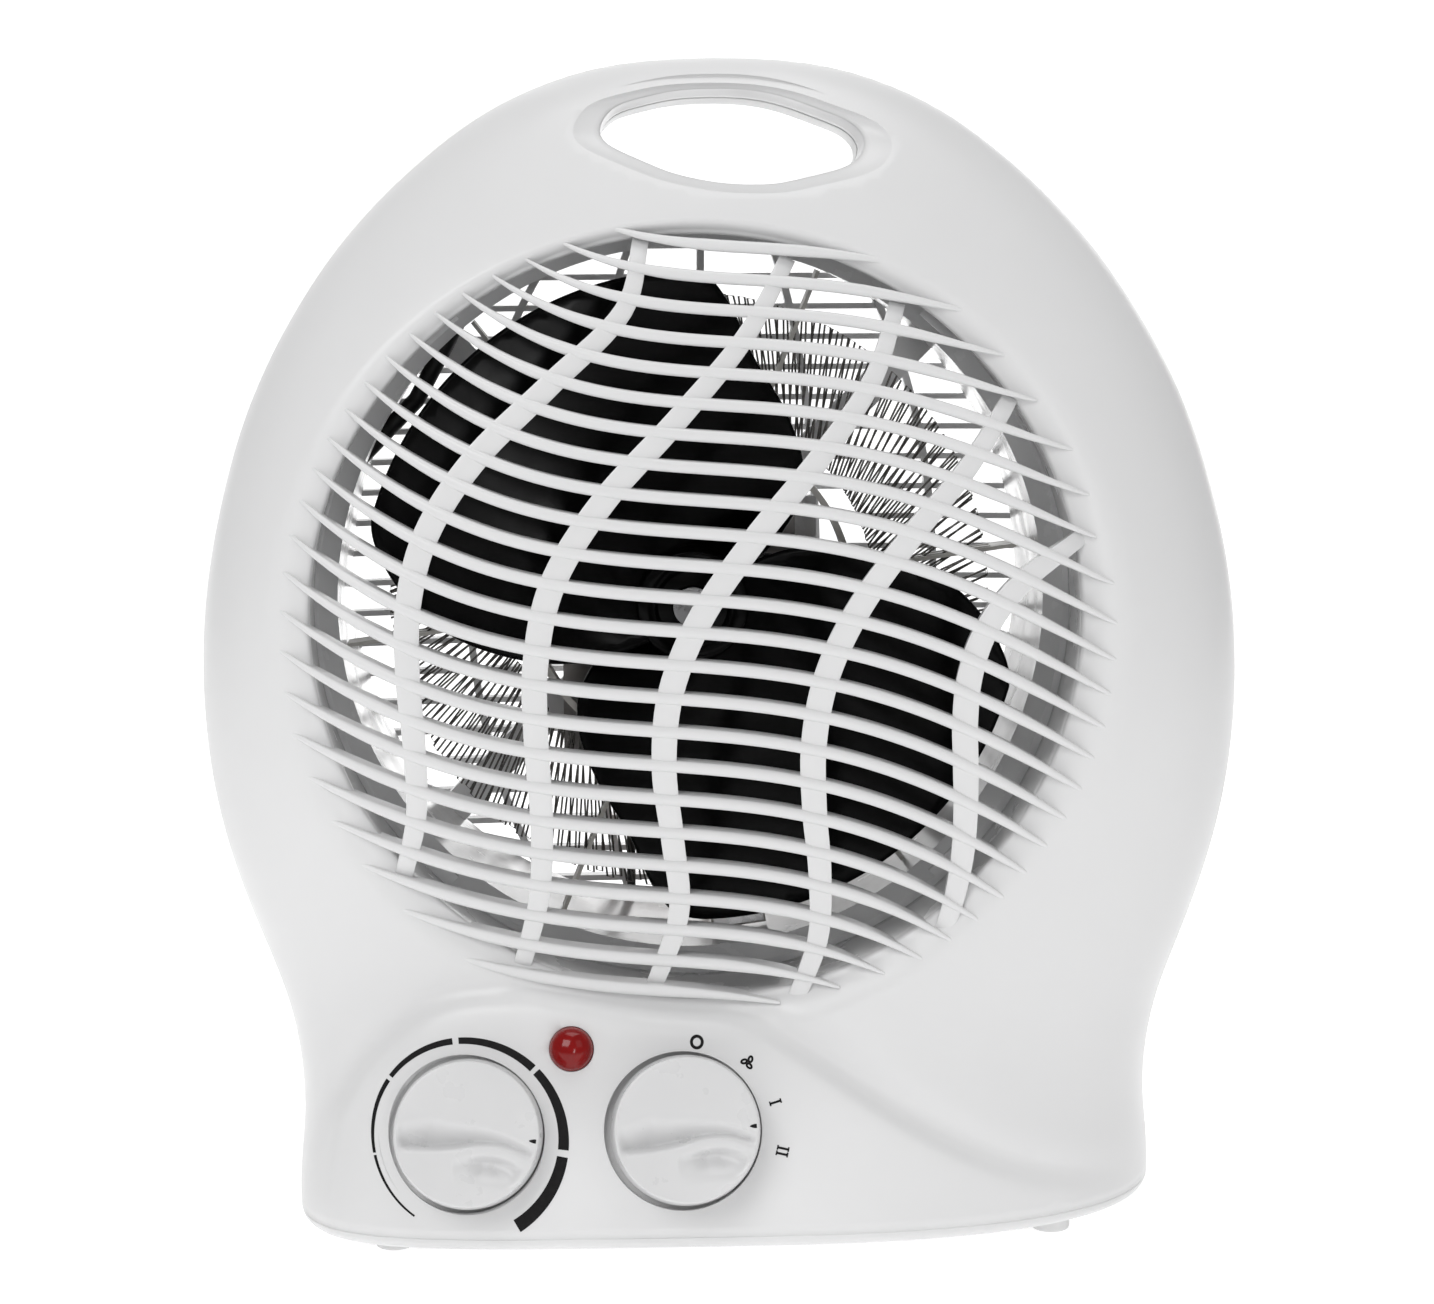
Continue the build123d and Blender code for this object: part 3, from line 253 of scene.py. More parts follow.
class Skin:
    """One half of the body as a map from (side angle, height) to space."""

    def __init__(self, rear):
        self.rear = rear
        self.s = 1.0 if rear else -1.0

    def depth(self, z):
        return dr_of(z) if self.rear else df_of(z)

    def expo(self, z, right):
        if self.rear:
            return n_rear(z)
        return np.where(right, n_right(z), n_left(z))

    def edge(self, z, r=BOT_R):
        k = np.clip((BASE + r - np.asarray(z, float)) / r, 0, 1)
        return r * (1 - np.sqrt(np.maximum(0, 1 - k * k)))

    def at(self, phi, z):
        """phi runs from -pi/2 (left edge) over 0 (middle) to pi/2 (right edge)."""
        phi = np.asarray(phi, float)
        z = np.asarray(z, float)
        n = self.expo(z, phi > 0)
        e = self.edge(z)
        sx = np.sign(phi) * np.abs(np.sin(phi)) ** (2 / n)
        x = cx_of(z) + (w_of(z) - e) * sx
        d = self.depth(z)
        if not self.rear:
            d = d + panel_add(x.ravel(), np.broadcast_to(z, x.shape).ravel()).reshape(x.shape)
        y = self.s * (d - self.edge(z, 2.0)) * np.maximum(np.cos(phi), 0) ** (2 / n)
        return np.stack([x, y, np.broadcast_to(lower(z), x.shape)], -1)

    def phi_of(self, x, z):
        x = np.asarray(x, float)
        z = np.asarray(z, float)
        n = self.expo(z, x > cx_of(z))
        u = np.clip((x - cx_of(z)) / (w_of(z) - self.edge(z)), -1, 1)
        return np.sign(u) * np.arcsin(np.abs(u) ** (n / 2))

    def point(self, x, z):
        return self.at(self.phi_of(x, z), z)

    def plain_y(self, x, z):
        """Depth of the unpanelled skin, positive outwards."""
        n = self.expo(z, x > cx_of(z))
        u = np.abs((x - cx_of(z)) / w_of(z))
        return self.depth(z) * np.maximum(1 - u ** n, 0) ** (1 / n)


FRONT, REAR = Skin(False), Skin(True)


def dome_y(x, z):
    """Smooth run of the front skin across the outlet, as a signed y."""
    return -FRONT.plain_y(np.asarray(x, float), np.asarray(z, float))


# ------------------------------------------------------------- mesh building
class Mesh:
    def __init__(self):
        self.v, self.f, self.mat = [], [], []
        self.n = 0

    def add(self, pts, faces, m=0):
        pts = np.asarray(pts, float).reshape(-1, 3)
        self.v.append(pts)
        self.f += [tuple(int(i) + self.n for i in q) for q in faces]
        self.mat += [m] * len(faces)
        self.n += len(pts)

    def grid(self, P, close_u=False, close_v=False, flip=False, m=0):
        """P is (rows, columns, 3)."""
        P = np.asarray(P, float)
        a, b = P.shape[:2]
        faces = []
        for i in range(a if close_u else a - 1):
            for j in range(b if close_v else b - 1):
                q = (i * b + j, i * b + (j + 1) % b, ((i + 1) % a) * b + (j + 1) % b, ((i + 1) % a) * b + j)
                faces.append(q[::-1] if flip else q)
        self.add(P.reshape(-1, 3), faces, m)

    def cap(self, ring, flip=False, m=0):
        ring = np.asarray(ring, float)
        c = ring.mean(0)
        n = len(ring)
        faces = [(i, (i + 1) % n, n) for i in range(n)]
        if flip:
            faces = [q[::-1] for q in faces]
        self.add(np.vstack([ring, c]), faces, m)

    def build(self, name, mats, body="housing", weld=2e-6, sharp=38.0, recalc=True, out=None):
        v = (np.vstack(self.v) + SHIFT) * 0.001
        me = bpy.data.meshes.new(name)
        me.from_pydata([tuple(p) for p in v], [], self.f)
        for p, k in zip(me.polygons, self.mat):
            p.material_index = k
        bm = bmesh.new()
        bm.from_mesh(me)
        if weld:
            bmesh.ops.remove_doubles(bm, verts=bm.verts, dist=weld)
        bmesh.ops.dissolve_degenerate(bm, dist=1e-7, edges=bm.edges)
        if recalc:
            bmesh.ops.recalc_face_normals(bm, faces=bm.faces)
        if out is not None:
            way = sum((f.normal * f.calc_area() for f in bm.faces), Vector((0, 0, 0)))
            if way.dot(Vector(out)) < 0:
                bmesh.ops.reverse_faces(bm, faces=bm.faces)
        bm.to_mesh(me)
        bm.free()
        me.polygons.foreach_set("use_smooth", [True] * len(me.polygons))
        if sharp:
            me.set_sharp_from_angle(angle=math.radians(sharp))
        me.update()
        o = bpy.data.objects.new(name, me)
        bpy.context.collection.objects.link(o)
        for m in mats if isinstance(mats, (list, tuple)) else [mats]:
            me.materials.append(m)
        if body:
            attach(o, body)
        return o


# ----------------------------------------------------------------- materials
def nodes_of(name):
    m = bpy.data.materials.new(name)
    m.use_nodes = True
    nt = m.node_tree
    bsdf = next(n for n in nt.nodes if n.type == "BSDF_PRINCIPLED")
    return m, nt, bsdf


def tint(c, k):
    return tuple(min(1.0, max(0.0, v * k)) for v in c) + (1.0,)


def plastic(name, base, rough=0.38, var=0.03, scale=35.0, grain=1400.0, grain_bump=0.012, wave=12.0, wave_bump=0.02,
            rough_var=0.07, spec=0.5, coat=0.0, coat_rough=0.1, sss=0.0, metal=0.0, wear=None, stretch=(1, 1, 1)):
    """Moulded or rolled surface: cloudy colour, fine grain, slow unevenness, changing roughness, worn edges."""
    m, nt, b = nodes_of(name)
    L = nt.links.new
    tc = nt.nodes.new("ShaderNodeTexCoord")
    mp = nt.nodes.new("ShaderNodeMapping")
    mp.inputs["Scale"].default_value = stretch
    L(tc.outputs["Object"], mp.inputs["Vector"])
    n1 = nt.nodes.new("ShaderNodeTexNoise")
    n1.inputs["Scale"].default_value = scale
    n1.inputs["Detail"].default_value = 5.0
    L(mp.outputs["Vector"], n1.inputs["Vector"])
    ramp = nt.nodes.new("ShaderNodeValToRGB")
    ramp.color_ramp.elements[0].position = 0.3
    ramp.color_ramp.elements[0].color = tint(base, 1 - var)
    ramp.color_ramp.elements[1].position = 0.72
    ramp.color_ramp.elements[1].color = tint(base, 1 + var)
    L(n1.outputs["Fac"], ramp.inputs["Fac"])
    colour = ramp.outputs["Color"]
    if wear is not None:
        geo = nt.nodes.new("ShaderNodeNewGeometry")
        pr = nt.nodes.new("ShaderNodeMapRange")
        pr.inputs["From Min"].default_value = 0.53
        pr.inputs["From Max"].default_value = 0.62
        pr.inputs["To Max"].default_value = wear[1]
        L(geo.outputs["Pointiness"], pr.inputs["Value"])
        n4 = nt.nodes.new("ShaderNodeTexNoise")
        n4.inputs["Scale"].default_value = 320.0
        L(mp.outputs["Vector"], n4.inputs["Vector"])
        mu = nt.nodes.new("ShaderNodeMath")
        mu.operation = "MULTIPLY"
        L(pr.outputs["Result"], mu.inputs[0])
        L(n4.outputs["Fac"], mu.inputs[1])
        mx = nt.nodes.new("ShaderNodeMix")
        mx.data_type = "RGBA"
        L(mu.outputs["Value"], mx.inputs["Factor"])
        L(colour, mx.inputs["A"])
        mx.inputs["B"].default_value = tuple(wear[0]) + (1.0,)
        colour = mx.outputs["Result"]
    L(colour, b.inputs["Base Color"])
    n2 = nt.nodes.new("ShaderNodeTexNoise")
    n2.inputs["Scale"].default_value = scale * 2.3
    n2.inputs["Detail"].default_value = 6.0
    L(mp.outputs["Vector"], n2.inputs["Vector"])
    mr = nt.nodes.new("ShaderNodeMapRange")
    mr.inputs["From Min"].default_value = 0.3
    mr.inputs["From Max"].default_value = 0.7
    mr.inputs["To Min"].default_value = max(0.02, rough - rough_var)
    mr.inputs["To Max"].default_value = min(1.0, rough + rough_var)
    L(n2.outputs["Fac"], mr.inputs["Value"])
    L(mr.outputs["Result"], b.inputs["Roughness"])
    n3 = nt.nodes.new("ShaderNodeTexNoise")
    n3.inputs["Scale"].default_value = grain
    n3.inputs["Detail"].default_value = 3.0
    L(mp.outputs["Vector"], n3.inputs["Vector"])
    b1 = nt.nodes.new("ShaderNodeBump")
    b1.inputs["Strength"].default_value = 0.5
    b1.inputs["Distance"].default_value = grain_bump * 0.001
    L(n3.outputs["Fac"], b1.inputs["Height"])
    n5 = nt.nodes.new("ShaderNodeTexNoise")
    n5.inputs["Scale"].default_value = wave
    n5.inputs["Detail"].default_value = 1.0
    L(mp.outputs["Vector"], n5.inputs["Vector"])
    b2 = nt.nodes.new("ShaderNodeBump")
    b2.inputs["Strength"].default_value = 0.5
    b2.inputs["Distance"].default_value = wave_bump * 0.001
    L(n5.outputs["Fac"], b2.inputs["Height"])
    L(b1.outputs["Normal"], b2.inputs["Normal"])
    L(b2.outputs["Normal"], b.inputs["Normal"])
    b.inputs["Metallic"].default_value = metal
    b.inputs["Specular IOR Level"].default_value = spec
    if coat:
        b.inputs["Coat Weight"].default_value = coat
        b.inputs["Coat Roughness"].default_value = coat_rough
    if sss:
        b.inputs["Subsurface Weight"].default_value = sss
        b.inputs["Subsurface Scale"].default_value = 0.002
    return m


SHELL = plastic("shell_white", (0.68, 0.68, 0.683), rough=0.33, var=0.012, scale=18, grain=2200, grain_bump=0.006,
                wave=9, wave_bump=0.02, rough_var=0.05, spec=0.42, wear=((0.78, 0.78, 0.78), 0.12))
# a lighter copy of the shell plastic: painted light that brightens inner faces lying in shade inside the body
PAINTED_LIGHT_WHITE = plastic("inner_white_painted_light", (0.86, 0.86, 0.863), rough=0.26, var=0.012, scale=18, grain=2200, grain_bump=0.006,
                wave=9, wave_bump=0.02, rough_var=0.05, spec=0.5)
REARM = plastic("rear_white", (0.68, 0.68, 0.683), rough=0.36, var=0.014, scale=18, grain=2200, grain_bump=0.008,
                wave=9, wave_bump=0.02, rough_var=0.06, spec=0.5, wear=((0.82, 0.82, 0.82), 0.25))
KNOBM = plastic("knob_white", (0.61, 0.61, 0.614), rough=0.3, var=0.012, scale=60, grain=2600, grain_bump=0.005,
                wave=30, wave_bump=0.008, rough_var=0.04)
DUCTM = plastic("duct_white", (0.84, 0.84, 0.845), rough=0.22, var=0.03, scale=40, grain=900, grain_bump=0.012,
                wave=22, wave_bump=0.05, rough_var=0.08, spec=0.6, wear=((0.8, 0.8, 0.8), 0.3))
BLACK = plastic("fan_black", (0.002, 0.002, 0.0022), rough=0.2, var=0.16, scale=45, grain=1500, grain_bump=0.008,
                wave=25, wave_bump=0.04, rough_var=0.06, spec=0.1, wear=((0.02, 0.02, 0.02), 0.3))
SLEEVE = plastic("sleeve_black", (0.008, 0.008, 0.008), rough=0.5, var=0.2, scale=300, grain=2500, grain_bump=0.03,
                 rough_var=0.1, wear=((0.06, 0.06, 0.06), 0.3))
MICA = plastic("mica_sheet", (0.6, 0.58, 0.54), rough=0.42, var=0.14, scale=120, grain=700, grain_bump=0.02,
               rough_var=0.14, wear=((0.75, 0.73, 0.7), 0.5))
WIRE = plastic("nichrome", (0.13, 0.125, 0.12), rough=0.34, var=0.3, scale=220, grain=1500, grain_bump=0.01,
               rough_var=0.12, metal=0.9, wear=((0.4, 0.38, 0.35), 0.4))
STEEL = plastic("zinc_steel", (0.6, 0.6, 0.61), rough=0.3, var=0.08, scale=150, grain=900, grain_bump=0.01,
                rough_var=0.12, metal=1.0, wear=((0.8, 0.8, 0.8), 0.6))
LAMI = plastic("laminations", (0.2, 0.2, 0.21), rough=0.4, var=0.2, scale=90, grain=1600, grain_bump=0.05,
               rough_var=0.14, metal=0.85, wear=((0.45, 0.4, 0.36), 0.6), stretch=(0.05, 1.0, 0.05))
COPPER = plastic("copper_winding", (0.42, 0.15, 0.06), rough=0.3, var=0.2, scale=200, grain=1400, grain_bump=0.12,
                 rough_var=0.1, metal=0.85, wear=((0.75, 0.4, 0.25), 0.4), stretch=(1.0, 1.0, 0.08))
BRASS = plastic("brass", (0.7, 0.52, 0.24), rough=0.3, var=0.1, scale=200, grain=900, grain_bump=0.01,
                rough_var=0.12, metal=1.0, wear=((0.9, 0.75, 0.45), 0.5))
BRONZE = plastic("sintered_bronze", (0.42, 0.28, 0.15), rough=0.45, var=0.15, scale=400, grain=2500, grain_bump=0.05,
                 rough_var=0.12, metal=0.9, wear=((0.7, 0.5, 0.3), 0.5))
NYLON = plastic("nylon_white", (0.72, 0.7, 0.64), rough=0.45, var=0.04, scale=80, grain=1800, grain_bump=0.015,
                rough_var=0.08, wear=((0.85, 0.83, 0.78), 0.4))
RUBBER = plastic("rubber_light", (0.72, 0.72, 0.72), rough=0.7, var=0.06, scale=160, grain=1600, grain_bump=0.06,
                 rough_var=0.1, wear=((0.7, 0.7, 0.7), 0.4))
# black print for the dial marks; the same black also paints the shade in the knob pointer notches
PRINT_AND_NOTCH_SHADE = plastic("print_and_notch_shade_black", (0.004, 0.0035, 0.004), rough=0.6, spec=0.2, var=0.2, scale=500, grain=3000, grain_bump=0.01,
                rough_var=0.1)


def lens_material():
    m, nt, b = nodes_of("neon_red")
    L = nt.links.new
    tc = nt.nodes.new("ShaderNodeTexCoord")
    n1 = nt.nodes.new("ShaderNodeTexNoise")
    n1.inputs["Scale"].default_value = 260.0
    L(tc.outputs["Object"], n1.inputs["Vector"])
    r = nt.nodes.new("ShaderNodeValToRGB")
    r.color_ramp.elements[0].color = (0.16, 0.0006, 0.0006, 1)
    r.color_ramp.elements[1].color = (0.26, 0.0015, 0.0015, 1)
    L(n1.outputs["Fac"], r.inputs["Fac"])
    L(r.outputs["Color"], b.inputs["Base Color"])
    mr = nt.nodes.new("ShaderNodeMapRange")
    mr.inputs["To Min"].default_value = 0.08
    mr.inputs["To Max"].default_value = 0.16
    L(n1.outputs["Fac"], mr.inputs["Value"])
    L(mr.outputs["Result"], b.inputs["Roughness"])
    bp = nt.nodes.new("ShaderNodeBump")
    bp.inputs["Distance"].default_value = 0.00001
    L(n1.outputs["Fac"], bp.inputs["Height"])
    L(bp.outputs["Normal"], b.inputs["Normal"])
    b.inputs["Specular IOR Level"].default_value = 0.3
    b.inputs["Coat Weight"].default_value = 0.08
    b.inputs["Coat Roughness"].default_value = 0.05
    return m


LENSM = lens_material()


# ------------------------------------------------------------ the two shells
def unroll(skin, zmin, zmax):
    """Tables between (arc, meridian) and (phi, z) on one skin."""
    nz, nf = 200, 121
    t = np.linspace(0, 1, nz)
    z = zmin + (zmax - zmin) * (1 - (1 - t) ** 2.6)
    z = np.sort(np.unique(np.concatenate([z, np.linspace(zmin, zmax, nz)])))
    phi = np.linspace(-math.pi / 2, math.pi / 2, 2 * nf - 1)
    PH, Z = np.meshgrid(phi, z)
    P = skin.at(PH, Z)
    arc = np.concatenate([np.zeros((len(z), 1)), np.cumsum(np.linalg.norm(np.diff(P, axis=1), axis=2), axis=1)], 1)
    arc = arc - arc[:, nf - 1:nf]
    mid = P[:, nf - 1]
    mer = np.concatenate([[0], np.cumsum(np.linalg.norm(np.diff(mid, axis=0), axis=1))])
    return z, phi, arc, mer


class Sheet:
    """Outer skin of one half, triangulated flat in unrolled coordinates."""

    def __init__(self, skin, zmin, zmax):
        self.skin = skin
        self.zt, self.phi, self.arc, self.mer = unroll(skin, zmin, zmax)
        self.zmin, self.zmax = zmin, zmax

    def to_flat(self, x, z):
        x = np.asarray(x, float)
        z = np.asarray(z, float)
        ph = self.skin.phi_of(x, z)
        m = np.interp(z, self.zt, self.mer)
        i = np.clip(np.searchsorted(self.zt, z) - 1, 0, len(self.zt) - 2)
        f = (z - self.zt[i]) / (self.zt[i + 1] - self.zt[i])
        a0 = np.array([np.interp(p, self.phi, self.arc[k]) for p, k in zip(ph, i)])
        a1 = np.array([np.interp(p, self.phi, self.arc[k + 1]) for p, k in zip(ph, i)])
        return np.stack([a0 * (1 - f) + a1 * f, m], 1)

    def from_flat(self, s, m):
        z = np.interp(m, self.mer, self.zt)
        i = np.clip(np.searchsorted(self.zt, z) - 1, 0, len(self.zt) - 2)
        f = (z - self.zt[i]) / (self.zt[i + 1] - self.zt[i])
        out = []
        for sv, k, ff in zip(s, i, f):
            row = self.arc[k] * (1 - ff) + self.arc[k + 1] * ff
            out.append(np.interp(sv, row, self.phi))
        return np.array(out), z

    def triangulate(self, holes, extra, step=2.2, keep_off=1.1):
        """holes: closed (x, z) loops that stay open. extra: chains of points laid into the mesh."""
        pts, flat, edges = [], [], []

        def put(P3, F2, closed, chain=True):
            k = len(flat)
            pts.extend(P3)
            flat.extend(F2)
            n = len(P3)
            if chain:
                for q in range(n if closed else n - 1):
                    edges.append((k + q, k + (q + 1) % n))

        # outline: bottom edge, right side, top, left side
        zs = []
        m_end = self.mer[-1]
        m = np.arange(0, m_end, step)
        m = np.append(m, m_end) if m_end - m[-1] > 0.5 * step else np.append(m[:-1], m_end)
        zrow = np.interp(m, self.mer, self.zt)
        bound_phi, bound_z = [], []
        half = math.pi / 2
        i0 = 0
        Lb = self.arc[0]
        nb = int((Lb[-1] - Lb[0]) / step)
        s_bot = np.linspace(Lb[0], Lb[-1], nb + 1)
        bound_phi += list(np.interp(s_bot, Lb, self.phi))
        bound_z += [zrow[0]] * (nb + 1)
        for z in zrow[1:]:
            bound_phi.append(half)
            bound_z.append(z)
        Lt = self.arc[-1]
        nt_ = max(2, int((Lt[-1] - Lt[0]) / step))
        s_top = np.linspace(Lt[-1], Lt[0], nt_ + 1)
        bound_phi += list(np.interp(s_top, Lt, self.phi))[1:]
        bound_z += [zrow[-1]] * nt_
        for z in zrow[::-1][1:-1]:
            bound_phi.append(-half)
            bound_z.append(z)
        bp, bz = np.array(bound_phi), np.array(bound_z)
        P = self.skin.at(bp, bz)
        flat_b = []
        for p_, z_ in zip(bp, bz):
            i = int(np.clip(np.searchsorted(self.zt, z_) - 1, 0, len(self.zt) - 2))
            f = (z_ - self.zt[i]) / (self.zt[i + 1] - self.zt[i])
            a = np.interp(p_, self.phi, self.arc[i] * (1 - f) + self.arc[i + 1] * f)
            flat_b.append((a, np.interp(z_, self.zt, self.mer)))
        put(P, flat_b, True)
        guard = [np.array(flat_b)]
        for loop in holes:
            F = self.to_flat(loop[:, 0], loop[:, 1])
            put(self.skin.point(loop[:, 0], loop[:, 1]), F, True)
            guard.append(F)
        for chain in extra:
            F = self.to_flat(chain[:, 0], chain[:, 1])
            put(self.skin.point(chain[:, 0], chain[:, 1]), F, False)
            guard.append(F)
        guard = np.vstack(guard)
        # rows of points across the whole skin
        gp, gz, gf = [], [], []
        for r, z in enumerate(zrow[:-1]):
            i = int(np.clip(np.searchsorted(self.zt, z) - 1, 0, len(self.zt) - 2))
            f = (z - self.zt[i]) / (self.zt[i + 1] - self.zt[i])
            row = self.arc[i] * (1 - f) + self.arc[i + 1] * f
            n = max(4, int((row[-1] - row[0]) / step))
            s = np.linspace(row[0], row[-1], n + 1)
            s = s[1:-1]
            gp.append(np.interp(s, row, self.phi))
            gz.append(np.full(len(s), z))
            gf.append(np.stack([s, np.full(len(s), np.interp(z, self.zt, self.mer))], 1))
        gp, gz, gf = np.concatenate(gp), np.concatenate(gz), np.vstack(gf)
        from mathutils import kdtree
        kd = kdtree.KDTree(len(guard))
        for i, g in enumerate(guard):
            kd.insert((g[0], g[1], 0.0), i)
        kd.balance()
        keep = np.array([kd.find((a, b, 0.0))[2] > keep_off for a, b in gf])
        G = self.skin.at(gp[keep], gz[keep])
        for loop in holes:
            ins = inside_poly(G[:, 0], G[:, 2], loop)
            k2 = np.where(keep)[0]
            G = G[~ins]
            keep = np.zeros(len(gp), bool)
            keep[k2[~ins]] = True
        put(G, gf[keep], False, chain=False)
        out = geometry.delaunay_2d_cdt([Vector((a, b)) for a, b in flat], edges, [], 0, 1e-5, True)
        ov, _, of_, orig = out[0], out[1], out[2], out[3]
        pts = np.array(pts)
        V = np.zeros((len(ov), 3))
        for i, src in enumerate(orig):
            if src:
                V[i] = pts[src[0]]
            else:
                ph, z = self.from_flat([ov[i][0]], [ov[i][1]])
                V[i] = self.skin.at(ph, z)[0]
        faces = np.array([tuple(q) for q in of_])
        flat_o = np.array([(a, b) for a, b in ov])
        c = V[faces].mean(1)
        ok = np.ones(len(faces), bool)
        for loop in holes:
            ok &= ~inside_poly(c[:, 0], c[:, 2], loop)
        fb = np.array(flat_b)
        cf = flat_o[faces].mean(1)
        ok &= inside_poly(cf[:, 0], cf[:, 1], fb)
        return V, [tuple(q) for q in faces[ok]]


def ellipse_loop(cx, cz, rx, rz, n):
    a = np.linspace(0, 2 * math.pi, n, endpoint=False)
    return np.stack([cx + rx * np.cos(a), cz + rz * np.sin(a)], 1)


def slot_loop(n, gx=0.0, gz=0.0, dz=0.0):
    p = smooth_closed(resample(SLOT, n=n, closed=True), 4)
    cx, cz = 3.3, 231.8
    q = p.copy()
    q[:, 0] = cx + (p[:, 0] - cx) * (28.3 + gx) / 28.3
    q[:, 1] = cz + dz + (p[:, 1] - cz) * (10.0 + gz) / 10.0
    return q


def seat_loop(p, r, n):
    a = np.linspace(0, 2 * math.pi, n, endpoint=False)
    q = p + r * (np.cos(a)[:, None] * E1 + np.sin(a)[:, None] * E2)
    return np.stack([q[:, 0], q[:, 2]], 1)


def crown_cap(M, skin, flip):
    n = 9
    phi = np.linspace(-math.pi / 2, math.pi / 2, n)
    row = skin.at(phi, np.full(n, TOP))
    rows = [row]
    for k in (0.5, 0.0):
        r = row.copy()
        r[:, 1] = row[:, 1] * k
        rows.append(r)
    M.grid(np.array(rows), flip=flip)


def bottom_strip(M, skin, z_from, flip):
    n = 150
    phi = np.linspace(-math.pi / 2, math.pi / 2, n)
    zz = [z_from] + [BASE + BOT_R * (1 - math.sin(a)) for a in np.linspace(0, math.pi / 2, 15)[1:]]
    rows = [skin.at(phi, np.full(n, max(z, BASE))) for z in zz]
    last = rows[-1]
    for k in (0.85, 0.6, 0.3, 0.0):
        r = last.copy()
        r[:, 1] = last[:, 1] * k
        rows.append(r)
    M.grid(np.array(rows), flip=flip)


